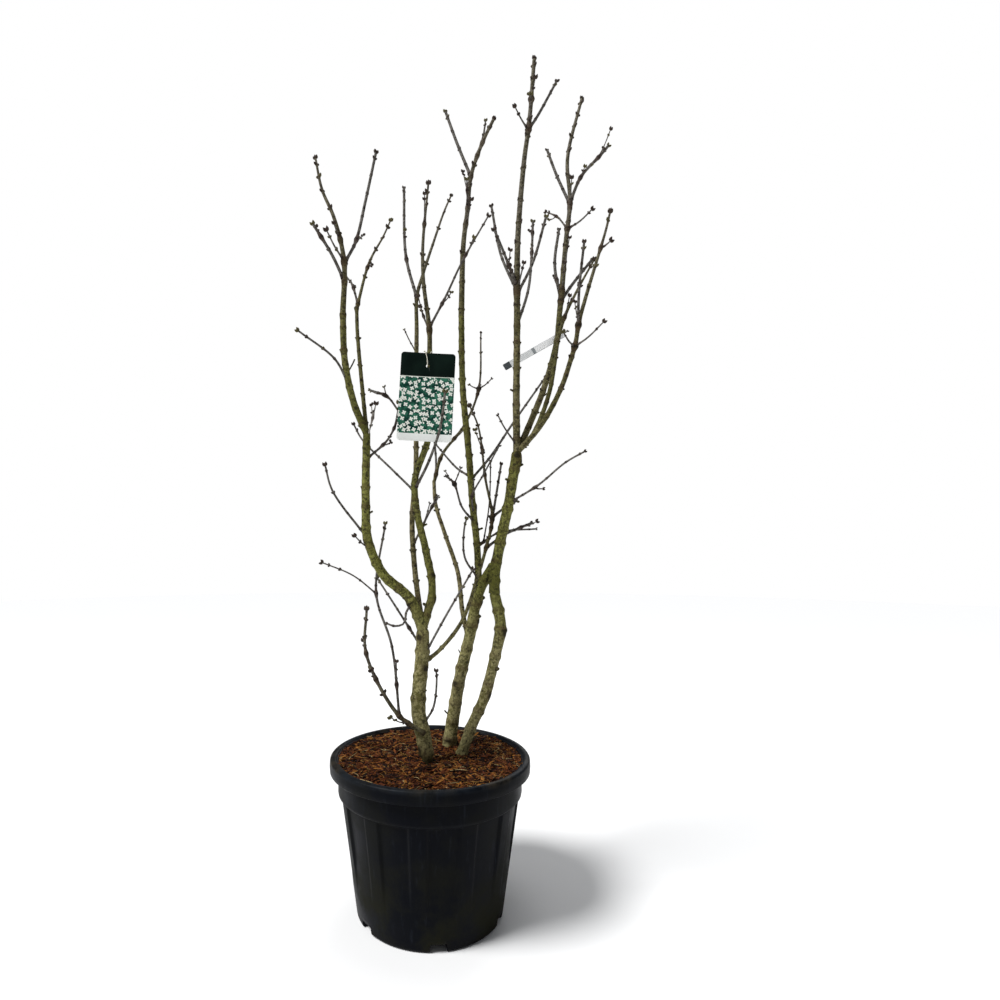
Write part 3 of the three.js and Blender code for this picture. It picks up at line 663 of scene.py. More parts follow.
def add_piece(name, mesh, materials, nodes=(), flat=False):
    """A finished piece of the plant or its pot, which rides on the one body and stands for CAD nodes."""
    mesh.polygons.foreach_set("use_smooth", [not flat] * len(mesh.polygons))
    for material in materials:
        mesh.materials.append(material)
    piece = in_scene(name, mesh)
    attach(piece, "root")
    if nodes:
        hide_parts(*nodes)


def scaled(bm):
    """The bmesh, brought from millimetres to metres."""
    bmesh.ops.scale(bm, vec=(MM, MM, MM), verts=bm.verts)
    return bm


def rounded(bm, edges, offset, segments):
    settings = dict(affect="EDGES", profile=0.5, material=-1)
    bmesh.ops.bevel(bm, geom=edges, offset=offset, segments=segments, **settings)


def mesh_from(bm, name):
    mesh = bpy.data.meshes.new(name)
    bm.to_mesh(mesh)
    bm.free()
    return mesh


# Limbs with the relief of their bark

LIMB_ROWS = {**STEMS, **BOUGHS}
LIMB_RING = 3.2
LIMB_SIDES = dict(stem=28, bough=20)
LIMB_NODES = dict(gap=dict(stem=62, bough=46), rise=0.17, scar=dict(stem=0.5, bough=0.9))
RELIEF = dict(ridges=0.035, lumps=0.06, rough=0.03)
COLLAR = dict(gain=0.3, reach=1.5, tip_gain=0.06)
FOOT_LOBES = dict(count=3, rise=0.05, height=90)
TIP_SUNK = {"stem_middle": 16}
# stem_left's bark is darker towards its foot: how far up that reaches, and how strongly
DARK_FEET = {"stem_left": 42}
FOOT_DARKENING = 1.1
NODE_RUST = (0.8, 7)
COLLAR_SCAR = (0.45, 5)
KNOT_MARKS = dict(scar=0.95, scar_reach=0.6, rust=0.8, rust_reach=1.2)
YOUNG_GIRTH = (21, 13)
YOUTH = dict(bough_back=0.2, bough_centre_back=0.3)
KNOB = dict(size=6.5, wide=0.85, depth=0.72, lift=0.6, marks=(0.75, 0.8, 0, 0))
STUB = dict(marks=(0.6, 0.3, 0, 0), ring=2.5, sides=9, collar=0.5, blunt=0.3)
GREY_LIMBS = ("bough_tallest", "bough_right_back", "bough_right_front", "bough_centre_back", "bough_back")


def marked(walk, spot, mark, strength=1):
    """How strong a mark round a spot is along a walk. A mark is [amount, reach]."""
    amount, reach = mark
    return amount * strength * hump(walk, spot, reach)


def facing(path, share, heading):
    """The angle round a path at which a direction points, in the frames that its tube has."""
    shares = np.linspace(0, share, 30)
    _, _, normals, binormals = ring_frames(path, shares)
    return math.atan2(heading @ binormals[-1], heading @ normals[-1])


def node_walks(length, gap, seed):
    """Uneven distances from node to node up a limb."""
    walk = gap * (0.4 + 0.5 * chance(seed))
    while walk < length - gap * 0.3:
        yield walk
        walk += gap * (0.7 + 0.6 * chance(seed + walk))


def rough_at(x, y, z):
    return noise.noise(Vector((x, y, z)))


def relief(walk, angle, radius):
    """How bark of that radius rises and falls: long ridges, slow lumps and fine roughness."""
    across, deep = math.cos(angle), math.sin(angle)
    ridges = rough_at(across * 2.6, deep * 2.6, walk / 85)
    lumps = rough_at(across * 0.9 + 7, deep * 0.9, walk / 24)
    rough = rough_at(across * 0.4 * radius, deep * 0.4 * radius, walk / 6)
    return RELIEF["ridges"] * ridges + RELIEF["lumps"] * lumps + RELIEF["rough"] * rough


def hump(walk, spot, reach):
    """A smooth rise to 1 at a spot, which falls off within its reach."""
    return np.exp(-(((walk - spot) / reach) ** 2))


def round_tip(left, tip, least):
    """The share of its width that a tube keeps where so much of its length is left: round over its tip."""
    left = np.clip(left / tip, 0, 1)
    return np.sqrt(np.clip(1 - (1 - left) ** 2, least, 1))


# Where algae have greened the bark: [limb, share, reach as a share, amount]
MOSS = [
    ["stem_middle", 0.95, 0.12, 0.5],
    ["stem_right", 0.97, 0.06, 0.3],
    ["bough_left_lower", 0.97, 0.10, 0.7],
    ["bough_left_upper", 0.08, 0.16, 0.7],
    ["bough_left_inner", 0.50, 0.60, 0.5],
    ["bough_centre_front", 0.15, 0.22, 0.45],
    ["bough_tall_middle", 0.50, 0.10, 0.6],
    ["bough_tall_middle", 0.90, 0.12, 0.5],
    ["bough_right_lower", 0.08, 0.16, 0.8],
    ["bough_right_lower", 0.93, 0.10, 0.4],
    ["bough_tallest", 0.60, 0.50, 0.25],
    ["bough_right_back", 0.70, 0.10, 0.8],
    ["bough_right_back", 0.92, 0.10, 0.5],
    ["bough_right_thin", 0.60, 0.30, 0.5],
    ["bough_right_front", 0.50, 0.15, 0.6],
]


class Bark:
    """The shape of one limb's bark: nodes, knots, root and tip, and the marks that colour it."""

    def __init__(self, name, row, seed):
        self.name = name
        self.path = with_sunk_tip(LIMBS[name], TIP_SUNK.get(name, 0))
        self.girth = row["girth"]
        self.seed = seed
        self.on_flank = row.get("at", 1) < 1
        self.parent_radius = 0
        if "on" in row:
            self.parent_radius = mix(*LIMB_ROWS[row["on"]]["girth"], row["at"]) / 2
        self.kind = "bough" if self.parent_radius else "stem"
        walks = enumerate(node_walks(self.path.length, LIMB_NODES["gap"][self.kind], seed))
        self.nodes = [(walk, index * math.pi / 2 + chance(seed + index)) for index, walk in walks]
        self.knots = [
            (share * self.path.length, facing(self.path, share, at_heading(lean, back)), rise, reach)
            for limb, share, lean, back, rise, reach in KNOTS if limb == name
        ]

    def foot(self, walk, angle):
        """How much wider or narrower the limb is towards its root."""
        if self.on_flank:
            return COLLAR["gain"] * hump(walk, 0, COLLAR["reach"] * self.parent_radius)
        if self.parent_radius:
            return COLLAR["tip_gain"] * hump(walk, 0, self.parent_radius)
        low = np.clip(1 - (walk - STEM_SUNK) / FLARE["height"], 0, 1) ** 1.2
        lobes = FOOT_LOBES["rise"] * np.cos(FOOT_LOBES["count"] * angle + self.seed)
        lobes *= np.clip(1 - walk / FOOT_LOBES["height"], 0, 1)
        return FLARE[self.name] * low * (1 + FLARE["one_sided"] * np.cos(angle)) + lobes

    def radius_at(self, walk, angle):
        plain = mix(*self.girth, walk / self.path.length) / 2
        swell = self.foot(walk, angle)
        for spot, turn in self.nodes:
            ring = hump(walk, spot, 0.3 * plain + 2.5) * (0.3 + 0.7 * np.cos(angle - turn) ** 2)
            swell += LIMB_NODES["rise"] * ring * (0.7 + 0.8 * chance(spot))
        swell += [relief(w + self.seed * 40, a, r) for w, a, r in zip(walk, angle, plain)]
        radius = plain * (1 + swell)
        for spot, turn, rise, reach in self.knots:
            radius += rise * hump(walk, spot, reach) * np.exp(-3 * (1 - np.cos(angle - turn)))
        return radius * round_tip(self.path.length - walk, self.girth[1] / 2, 0.0004)

    def marks_at(self, walk, angle):
        scar = np.zeros(len(walk))
        rust = np.zeros(len(walk))
        # stem_left's bark turns darker towards its foot, through the scar mark
        if self.name in DARK_FEET:
            scar += FOOT_DARKENING * np.clip(1 - (walk - STEM_SUNK) / DARK_FEET[self.name], 0, 1)
        strength = LIMB_NODES["scar"][self.kind]
        for spot, turn in self.nodes:
            lobes = 0.2 + 0.8 * np.cos(angle - turn) ** 4
            scar += strength * hump(walk, spot - 2, 3.4) * lobes * (0.4 + 0.6 * chance(spot + 0.3))
            rust += marked(walk, spot + 4, NODE_RUST) * chance(spot + 0.6)
        for spot, turn, _, reach in self.knots:
            off = 1 - np.cos(angle - turn)
            scarred = (KNOT_MARKS["scar"], reach * KNOT_MARKS["scar_reach"])
            rusted = (KNOT_MARKS["rust"], reach * KNOT_MARKS["rust_reach"])
            scar += marked(walk, spot, scarred) * np.exp(-6 * off)
            rust += marked(walk, spot, rusted) * np.exp(-1.5 * off)
        if self.on_flank:
            scar += marked(walk, self.parent_radius * 1.2, COLLAR_SCAR)
        thin = mix(*self.girth, walk / self.path.length)
        young = (YOUNG_GIRTH[0] - thin) / (YOUNG_GIRTH[0] - YOUNG_GIRTH[1]) * YOUTH.get(self.name, 1)
        moss = np.zeros(len(walk))
        for limb, share, reach, amount in MOSS:
            if limb == self.name:
                moss += amount * hump(walk, share * self.path.length, reach * self.path.length)
        return scar, rust, young, moss

    def knobs(self):
        """Old bud scars: a low knob on each side of every node."""
        shares = np.array([0, *(spot for spot, _ in self.nodes)]) / self.path.length
        centres, along, normals, binormals = ring_frames(self.path, shares)
        for index, (spot, turn) in enumerate(self.nodes, start=1):
            radius = mix(*self.girth, shares[index]) / 2
            out = normals[index] * math.cos(turn) + binormals[index] * math.sin(turn)
            for sign in (1, -1):
                size = KNOB["size"] * (0.7 + 0.6 * chance(spot + sign))
                root = centres[index] + out * sign * radius * KNOB["depth"]
                yield bud(root, out * sign + along[index] * KNOB["lift"], (size, size * KNOB["wide"]), spot)


def with_sunk_tip(path, reach):
    """The same path, carried straight on so that its tip is sunk in the limb that it meets."""
    if not reach:
        return path
    return Path([*path.at(np.linspace(0, 1, 12)), path.at(1) + path.heading(1) * reach])


def ringed(length, tip, ring):
    """Walked distances for a limb's rings: even, and closer over the round tip."""
    body = np.linspace(0, length - tip, max(2, math.ceil((length - tip) / ring)))
    cap = length - tip * (1 - np.sin(np.radians([20, 40, 60, 78, 90])))
    return np.concatenate([body, cap])


def bark_mesh(name, row, seed):
    """One limb's bark with its knobs and its stubs."""
    bark = Bark(name, row, seed)
    sides = LIMB_SIDES[bark.kind]
    walks = ringed(bark.path.length, row["girth"][1] / 2, LIMB_RING)
    heap = Heap()
    marks = marks_of(walks, sides, bark.marks_at)
    heap.add(laid_tube(bark.path, walks, bark.radius_at, sides), marks=marks)
    if bark.parent_radius:
        for knob in bark.knobs():
            heap.add(knob, marks=KNOB["marks"])
    for index, (limb, share, lean, back, length, girth) in enumerate(STUBS):
        if limb == name:
            depth = mix(*row["girth"], share) / 2
            shape = stub(bark.path.at(share), depth, lean, back, length, girth, index)
            heap.add(shape, marks=STUB["marks"])
    return heap.mesh("bark_" + name)


def stub(root, depth, lean, back, length, girth, seed):
    """A short stump with a rough broken end, rooted in the middle of its limb."""
    path = path_of(root, [[depth + length * 0.6, lean, back], [length * 0.4, lean * 0.8, back]])
    blunt = girth * STUB["blunt"]
    walks = ringed(path.length, blunt, STUB["ring"])

    def radius_at(walk, angle):
        broken = 1 + 0.12 * np.cos(3 * angle + seed) + 0.1 * np.cos(7 * angle - seed)
        collar = 1 + STUB["collar"] * hump(walk, depth, girth * 0.5)
        return girth / 2 * broken * collar * round_tip(path.length - walk, blunt, 0.09)

    return laid_tube(path, walks, radius_at, STUB["sides"])


def add_limbs(materials):
    for seed, (name, row) in enumerate(LIMB_ROWS.items(), start=1):
        bark = materials["grey_bark" if name in GREY_LIMBS else "olive_bark"]
        add_piece("bark_" + name, bark_mesh(name, row, seed), [bark], [name])


# Shoots with nodes and buds

# A leader from this girth up is stout, and a short shoot is finer than its row says
STOUT = 9
FINE = dict(below=115, share=0.78)
SIDES = dict(stout=14, slim=10, twiglet=7)
RINGS = dict(gap=11, least=0.5, at_tip=(1, 0.6, 0.25, 0), at_node=(-4.5, -1.6, 0.4, 2.2, 5))

# Buds: length and width, and how far they lean out. Their size is [young, old, how soon it is old].
BUD = dict(tip=(10.5, 7.2), side=(8.6, 5.8), splay=44, tip_splay=18)
TIP_BUDS = dict(thin=0.62, least=0.98, more=0.34, sunk=3.5, apart=1.6)
BUD_SIZES = dict(stout=(1.25, 1.05, 1.6), slim=(1, 0.4, 2.4))
BUD_DEPTH = dict(stout=0.85, slim=0.55)
GREEN = dict(tip=0.3, side=0.25)
AGE_LENGTH = 500
TWIGLET = dict(chance=0.006, short=9, long=26, girth=(2.2, 1.6), ages=(0.1, 1.2))

# Nodes: how far apart, how much further towards the foot at most, and how far they swell the bark
NODE_GAP = (28, 56)
NODE_ENDS = dict(tip=13, uneven=15, foot=16)
GAPS_DOUBLE_AFTER = 260
GAP_GROWTH = dict(stout=1.9, slim=4)
NODE_TURN = dict(first=1.1, spread=0.6)
NODE_SWELL = dict(rise=0.9, stout=0.25, slim=0.1, reach=2.8)
ROOT_SWELL = dict(share=0.5, reach=5.5)
ROOT_DEPTH = dict(share=0.45, more=2)
FORK = dict(rise=2.6, reach=7.5, clear=12)
SHOOT_MARKS = dict(
    root_scar=(0.7, 5), root_rust=(1, 9), node_scar=(0.75, 2.8), node_rust=(0.4, 5),
    fork_scar=(0.6, 5), fork_rust=(1.2, 13),
)
YOUNG_AFTER = dict(from_tip=20, from_side=-90, reach=320)

# Masses whose shoots show fuller than the rule's, a mass of pale twigs, and those with small buds
FULLER = dict(
    shoot=dict(twigs_centre_back=1.3, twigs_cross=1.35, twigs_tall_middle=1.25, twigs_right_back=1.2),
    leader=dict(twigs_before_card=1.25, twigs_curled=1.25),
)
PALE_TWIGS = ("twigs_pale",)
SHADED = dict(
    plump=0.62,
    masses=(
        "twigs_back", "twigs_right_low", "twigs_behind_right", "twigs_middle_left", "twigs_middle_front",
        "twigs_middle_west", "twigs_tallest_foot", "twigs_behind_card", "twigs_above_card", "twigs_curled",
        "twigs_centre_low", "twigs_label_spur",
    ),
)


@lru_cache(maxsize=None)
def unit_bud():
    """A plump pointed bud of length 1 and width 1, in tiers of overlapping scales."""
    bm = bmesh.new()
    bmesh.ops.create_uvsphere(bm, u_segments=8, v_segments=9, radius=0.5)
    for corner in bm.verts:
        share = corner.co.z + 0.5
        turn = math.atan2(corner.co.y, corner.co.x)
        wide = math.hypot(corner.co.x, corner.co.y)
        tier = math.cos(2 * turn + math.pi * math.floor(share * 4)) * 0.07
        full = 0.5 * math.sin(math.pi * share**0.7) ** 0.85 * (1 + tier) if 0 < share < 1 else 0
        if wide > 1e-6:
            corner.co.x *= full / wide
            corner.co.y *= full / wide
        corner.co.z = share
    return shape_of(bm)


def bud(place, heading, size, turn):
    """A bud at a place, pointing along a heading. Size is its length and width."""
    heading = unit(heading)
    side = unit(np.cross(heading, [0.4 * math.cos(turn), 0.9, 0.3 * math.sin(turn)]))
    other = np.cross(heading, side)
    length, width = size
    return placed(unit_bud(), place, [side * width, other * width, heading * length])


def shoot_nodes(length, seed, most):
    """How far up a shoot its pairs of buds sit, from a close pair under the tip down to the foot."""
    walk = length - (NODE_ENDS["tip"] + NODE_ENDS["uneven"] * chance(seed + 0.7))
    while walk > NODE_ENDS["foot"]:
        yield walk
        growth = 1 + (length - walk) / GAPS_DOUBLE_AFTER
        walk -= mix(*NODE_GAP, chance(seed + walk * 0.37)) * min(most, growth)


def shoot_rings(length, tip, nodes):
    """Walked distances for a shoot's rings, close together at its nodes."""
    walks = [*np.arange(0, length - tip, RINGS["gap"]), *(length - tip * np.array(RINGS["at_tip"]))]
    for node in nodes:
        walks += [node + step for step in RINGS["at_node"]]
    walks = np.unique(np.clip(walks, 0, length))
    kept = [walks[0]]
    for walk in walks[1:]:
        if walk - kept[-1] > RINGS["least"]:
            kept.append(walk)
    kept[-1] = length
    return np.array(kept)


def shoot_tube(path, girth, nodes, turns, forks, base, sides, stout=False):
    """A shoot's tube, swollen at its nodes and where others fork off it, and its corners' marks.

    Base is the walk where the shoot comes out of its parent's side, or None where it goes on from
    its parent's tip and turns from old bark to young.
    """
    tip = girth[1] / 2
    spots = list(zip(nodes, turns))
    swell = NODE_SWELL["stout" if stout else "slim"]

    def radius_at(walk, angle):
        plain = mix(*girth, walk / path.length) / 2
        extra = 0
        if base is not None:
            extra = plain * ROOT_SWELL["share"] * hump(walk, base, ROOT_SWELL["reach"])
        for node, turn in spots:
            lobes = 0.3 + 0.7 * np.cos(angle - turn) ** 2
            extra += (NODE_SWELL["rise"] + plain * swell) * hump(walk, node, NODE_SWELL["reach"]) * lobes
        for fork in forks:
            extra += FORK["rise"] * np.clip(1.55 - plain / 8, 0.3, 1) * hump(walk, fork, FORK["reach"])
        return (plain + extra) * round_tip(path.length - walk, tip, 0.01)

    def marks_at(walk, angle):
        scar = np.zeros(len(walk))
        rust = np.zeros(len(walk))
        young = np.ones(len(walk))
        if stout:
            start = YOUNG_AFTER["from_tip" if base is None else "from_side"]
            young = np.clip((walk - start) / YOUNG_AFTER["reach"], 0, 1)
        if base is not None:
            scar += marked(walk, base, SHOOT_MARKS["root_scar"])
            rust += marked(walk, base, SHOOT_MARKS["root_rust"])
        for node, turn in spots:
            lobes = 0.4 + 0.6 * np.cos(angle - turn) ** 2
            scar += marked(walk, node - 1, SHOOT_MARKS["node_scar"]) * lobes
            rust += marked(walk, node, SHOOT_MARKS["node_rust"])
        strength = np.clip(1.6 - girth[0] / 16, 0.4, 1)
        for fork in forks:
            scar += marked(walk, fork, SHOOT_MARKS["fork_scar"], strength)
            rust += marked(walk, fork, SHOOT_MARKS["fork_rust"], strength)
        return scar, rust, young, np.zeros(len(walk))

    walks = shoot_rings(path.length, tip, [*nodes, *forks, base or 0])
    return laid_tube(path, walks, radius_at, sides), marks_of(walks, sides, marks_at)


class Buds:
    """The heaps that every shoot's buds go into, by kind."""

    def __init__(self):
        self.tips = Heap()
        self.sides = Heap()

    def terminal(self, path, seed, thin=False, stout=False, plump=1.0):
        """The buds that end a shoot: two side by side, one on a thin twiglet, three on a stout one."""
        place, along = path.at(1), path.heading(1)
        axis = unit(np.cross(along, [0.5 * math.cos(seed), 1, 0.5 * math.sin(seed)]))
        scale = plump * (TIP_BUDS["least"] + TIP_BUDS["more"] * chance(seed + 0.1))
        size = [part * (TIP_BUDS["thin"] if thin else scale) for part in BUD["tip"]]
        finish = int(chance(seed + 0.2) < GREEN["tip"])
        if thin:
            self.tips.add(bud(place - along * 1.5, along, size, seed), finish)
            return
        splay = math.radians(BUD["tip_splay"] * (0.6 + 0.9 * chance(seed + 0.8)))
        for sign in (1, -1):
            heading = along * math.cos(splay) + axis * sign * math.sin(splay)
            root = place - along * TIP_BUDS["sunk"] + axis * sign * TIP_BUDS["apart"]
            self.tips.add(bud(root, heading, size, seed + sign), finish)
        if stout:
            self.tips.add(bud(place - along * 2, along, size, seed + 0.5), finish)

    def pair(self, place, along, out, radius, seed, size):
        """Two opposite buds at a node, rooted in the bark."""
        splay = math.radians(BUD["splay"] - 10 + 20 * chance(seed + 0.4))
        finish = int(chance(seed + 0.6) < GREEN["side"])
        depth = BUD_DEPTH["slim" if radius < STOUT / 2 else "stout"]
        for sign in (1, -1):
            heading = along * math.cos(splay) + out * sign * math.sin(splay)
            scale = size * (0.8 + 0.4 * chance(seed + sign * 0.9))
            parts = [part * scale for part in BUD["side"]]
            root = place + out * sign * radius * depth - along * 1.2
            self.sides.add(bud(root, heading, parts, seed + sign), finish)


def dress_shoot(heap, buds, twig, forks, base, seed, plump):
    """One shoot's tube, its buds and now and then a thin twiglet.

    Forks are walks up to its own shoots, and plump is how full its buds are.
    """
    path, girth, kind = twig["path"], twig["girth"], twig["kind"]
    if path.length < FINE["below"]:
        girth = tuple(part * FINE["share"] for part in girth)
    stout = kind == "leader" and girth[0] >= STOUT
    wood = "stout" if stout else "slim"
    nodes = sorted(shoot_nodes(path.length, seed, GAP_GROWTH[wood]))
    nodes = [node for node in nodes if all(abs(node - fork) > FORK["clear"] for fork in forks)]
    first = NODE_TURN["first"] + NODE_TURN["spread"] * (chance(seed) - 0.5)
    turns = [first + index * math.pi / 2 for index in range(len(nodes))]
    tube, marks = shoot_tube(path, girth, nodes, turns, forks, base, SIDES[wood], stout)
    heap.add(tube, 0 if stout else 1, marks)
    buds.terminal(path, seed, stout=stout, plump=plump)
    if not nodes:
        return
    shares = np.array([0, *nodes]) / path.length
    centres, along, normals, binormals = ring_frames(path, shares)
    for index, (node, turn) in enumerate(zip(nodes, turns), start=1):
        out = normals[index] * math.cos(turn) + binormals[index] * math.sin(turn)
        radius = mix(*girth, node / path.length) / 2
        age = (path.length - node) / AGE_LENGTH
        key = seed + node * 0.11
        fit = kind != "spur" and TWIGLET["ages"][0] < age < TWIGLET["ages"][1]
        if fit and chance(key) < TWIGLET["chance"]:
            sign = 1 if chance(key + 0.5) < 0.5 else -1
            add_twiglet(heap, buds, centres[index], along[index], out * sign, key)
            continue
        young, old, pace = BUD_SIZES[wood]
        size = mix(young, old, min(1, age * pace))
        buds.pair(centres[index], along[index], out, radius, key, size * plump)


def add_twiglet(heap, buds, place, along, out, seed):
    """A thin bent twiglet that stands out of a node where a bud would be."""
    reach = mix(TWIGLET["short"], TWIGLET["long"], chance(seed + 0.8))
    middle = place + (along * 0.5 + out * 0.86) * reach * 0.5
    end = middle + (along * 0.8 + out * 0.6) * reach * 0.5
    path = Path([place, middle, end])
    tube, marks = shoot_tube(path, TWIGLET["girth"], [path.length * 0.5], [seed], [], 3, SIDES["twiglet"])
    heap.add(tube, 1, marks)
    buds.terminal(path, seed, thin=True)


def base_of(name, twigs, number):
    """How far up a shoot it comes out of its parent's side, or None where it grows from the tip."""
    row = TWIGS[name]
    if number:
        girth = twigs[twigs[number]["on"]]["girth"][0]
    elif row["at"] < 1:
        girth = mix(*LIMB_ROWS[row["on"]]["girth"], row["at"])
    else:
        return None
    return ROOT_DEPTH["share"] * girth + ROOT_DEPTH["more"]


def shown_girth(name, twig):
    """A shoot's girth as it shows: with older, thicker bark it is a little fuller than the rule's."""
    swell = FULLER.get(twig["kind"], {}).get(name, 1)
    return tuple(part * swell for part in twig["girth"])


def add_crown(materials):
    buds = Buds()
    for index, (name, twigs) in enumerate(CROWN.items()):
        heap = Heap()
        for number, twig in enumerate(twigs):
            forks = [t["share"] * twig["path"].length for t in twigs if t["on"] == number]
            base = base_of(name, twigs, number)
            plump = SHADED["plump"] if name in SHADED["masses"] else 1
            shown = dict(twig, girth=shown_girth(name, twig))
            dress_shoot(heap, buds, shown, forks, base, index * 101 + number * 7.3, plump)
        bark = [materials["leader_bark"], materials["shoot_bark"]]
        if name in PALE_TWIGS:
            bark = [materials["pale_bark"]] * 2
        add_piece("shoots_" + name[6:], heap.mesh(name), bark, [name])
    scales = [materials["bud_brown"], materials["bud_green"]]
    add_piece("tip_buds", buds.tips.mesh("tip_buds"), scales)
    add_piece("side_buds", buds.sides.mesh("side_buds"), scales)


# Pot and mulch

POT_STEPS = 480
ARC_STEPS = 6
QUARTER = np.radians(np.linspace(0, 90, ARC_STEPS))
BODY_HEIGHTS = [*range(12, 60, 8), *range(60, 284, 8), 285, 287, 288.4, 289.2, 290, 290.8, 291.6, 294]


def pot_profile():
    """The pot's section, outside first, from the middle of its foot round to the middle of its floor."""
    p = POT
    throat = p["collar"] - p["lip"]
    mouth = MOUTH["radius"]
    under = p["rim_top"] - p["lip"] - 1
    skirt = p["rim"] - 5
    bend = p["foot_round"]
    foot = [(p["foot"] + bend * math.sin(t), bend * (1 - math.cos(t))) for t in QUARTER]
    sides = [(radius_at_height(z), z) for z in BODY_HEIGHTS]
    step = [(p["body_top_radius"] + 3, p["body_top"] + 1), (p["collar"] - 1, p["body_top"] + 4)]
    band = [(p["collar"], z) for z in (p["body_top"] + 9, p["collar_top"], under - 2)]
    tuck = [(p["collar"] + 1, under), (skirt - 1, under), (skirt, under - 2), (skirt, p["collar_top"] + 1)]
    low = p["collar_top"]
    edge = [(p["rim"] - 3, low), (p["rim"] - 1, low + 2), (p["rim"], low + 14)]
    lip = arc(p["rim"] - 7, p["rim_top"] - 7, 6.6, 0, 90) + arc(mouth + 8, p["rim_top"] - 8, 8, 90, 180)
    inside = [(mouth, MOUTH["bottom"]), (throat, MOUTH["bottom"] - 12), (throat, p["collar_top"])]
    inside += [(p["body_top_radius"] - p["wall"], p["body_top"])]
    well = p["base"] - p["wall"]
    bottom = arc(well - 8, p["floor"] + 8, 8, 0, -90)
    return [(0, 0), *foot, *sides, *step, *band, *tuck, *edge, *lip, *inside, *bottom, (0, p["floor"])]


def arc(x, y, radius, start, end):
    """Points on a round of the section, from one angle to another."""
    turns = np.radians(np.linspace(start, end, ARC_STEPS))
    return [(x + radius * math.cos(t), y + radius * math.sin(t)) for t in turns]


def radius_at_height(z):
    """The radius of the pot's plain outer wall."""
    share = (z - POT["foot_round"]) / (POT["body_top"] - POT["foot_round"])
    return mix(POT["base"], POT["body_top_radius"], share)


def lathe(profile, steps):
    """A closed solid spun round the Z axis from a section that starts and ends on it. Millimetres."""
    bm = bmesh.new()
    line = [bm.verts.new((radius, 0, z)) for radius, z in profile]
    edges = [bm.edges.new(pair) for pair in zip(line, line[1:])]
    bmesh.ops.spin(
        bm, geom=line + edges, cent=(0, 0, 0), axis=(0, 0, 1), angle=math.tau, steps=steps, use_merge=True,
    )
    bmesh.ops.remove_doubles(bm, verts=bm.verts, dist=0.01)
    bmesh.ops.recalc_face_normals(bm, faces=bm.faces)
    return bm


def flute_share(angle):
    """How deep in a flute an angle round the pot is: 0 on a rib, 1 on a panel."""
    pitch = 360 / FLUTES["count"]
    off = (math.degrees(angle) - FRONT - FLUTES["first"] + pitch / 2) % pitch - pitch / 2
    return smooth((FLUTES["half"] + FLUTES["flank"] - abs(off)) / FLUTES["flank"] / 1.4)


def flute_rise(z):
    """How deep the flutes are at a height: cut off crisply at the top and fading out to the foot."""
    foot = smooth((z - FLUTES["bottom"]) / (FLUTES["fade"] - FLUTES["bottom"]))
    top = smooth((FLUTES["top"] + 0.6 - z) / 1.8)
    return FLUTES["depth"] * foot * top


def cut(mesh, cutter):
    """The mesh with the cutter's shape taken out of it. Both meshes are used up."""
    body = in_scene("uncut", mesh)
    tool = in_scene("cutter", cutter)
    boolean = body.modifiers.new("cut", "BOOLEAN")
    boolean.operation = "DIFFERENCE"
    boolean.solver = "EXACT"
    boolean.object = tool
    shaped = bpy.data.meshes.new_from_object(body.evaluated_get(bpy.context.evaluated_depsgraph_get()))
    for part in (body, tool):
        bpy.data.objects.remove(part)
    shaped.materials.clear()
    return shaped


def notch_cutters():
    """The drain notches: rounded blocks that open through the foot's edge and its underside."""
    bm = bmesh.new()
    depth = POT["base"] + 20 - NOTCHES["inner"]
    for index in range(NOTCHES["count"]):
        made = bmesh.ops.create_cube(bm, size=1)["verts"]
        bmesh.ops.scale(bm, vec=(depth, NOTCHES["width"], NOTCHES["height"] * 2), verts=made)
        bmesh.ops.translate(bm, vec=(NOTCHES["inner"] + depth / 2, 0, 0), verts=made)
        turn = math.radians(FRONT + NOTCHES["first"] + index * 360 / NOTCHES["count"])
        bmesh.ops.rotate(bm, cent=(0, 0, 0), matrix=Matrix.Rotation(turn, 3, "Z"), verts=made)
    upper = [e for e in bm.edges if max(v.co.z for v in e.verts) > 1]
    rounded(bm, upper, NOTCHES["round"], 3)
    return mesh_from(scaled(bm), "notches")


def add_pot(material):
    bm = lathe(pot_profile(), POT_STEPS)
    for corner in bm.verts:
        x, y, z = corner.co
        radius = math.hypot(x, y)
        if radius < radius_at_height(z) - 2 or not FLUTES["bottom"] < z < FLUTES["top"] + 2:
            continue
        sunk = flute_rise(z) * flute_share(math.atan2(y, x))
        corner.co.x *= 1 - sunk / radius
        corner.co.y *= 1 - sunk / radius
    pot = cut(mesh_from(scaled(bm), "pot"), notch_cutters())
    add_piece("nursery_pot", pot, [material], ["pot"])


BED = dict(bottom=330, level=375.5, wave=6.5, ring=6, steps=220)
CHIPS = dict(count=3400, long=(9, 32), wide=(2.6, 7.5), thick=(0.8, 2.2), tilt=28, lift=(-0.5, 3.2))
FIBRES = dict(count=2100, long=(14, 46), girth=(1.0, 1.9), tilt=16, lift=(1.0, 4.5), bend=0.35, rise=0.12)
CHIP_COLOURS = ["#130804", "#2d140a", "#4a240f", "#653817", "#845624"]
CHIP_SHARES = [0.30, 0.27, 0.20, 0.14, 0.09]
FIBRE_COLOURS = ["#5a2f16", "#794a1e", "#8f6a36", "#a39066", "#2a140a"]
FIBRE_SHARES = [0.28, 0.26, 0.16, 0.06, 0.24]


def bed_height(x, y):
    """The level of the mulch: slow hollows, lumps and finer lumps."""
    slow = rough_at(x / 70, y / 70, 3)
    lumps = rough_at(x / 17, y / 17, 9)
    fine = rough_at(x / 6, y / 6, 5)
    return BED["level"] + BED["wave"] * (0.8 * slow + 0.7 * lumps + 0.35 * fine)


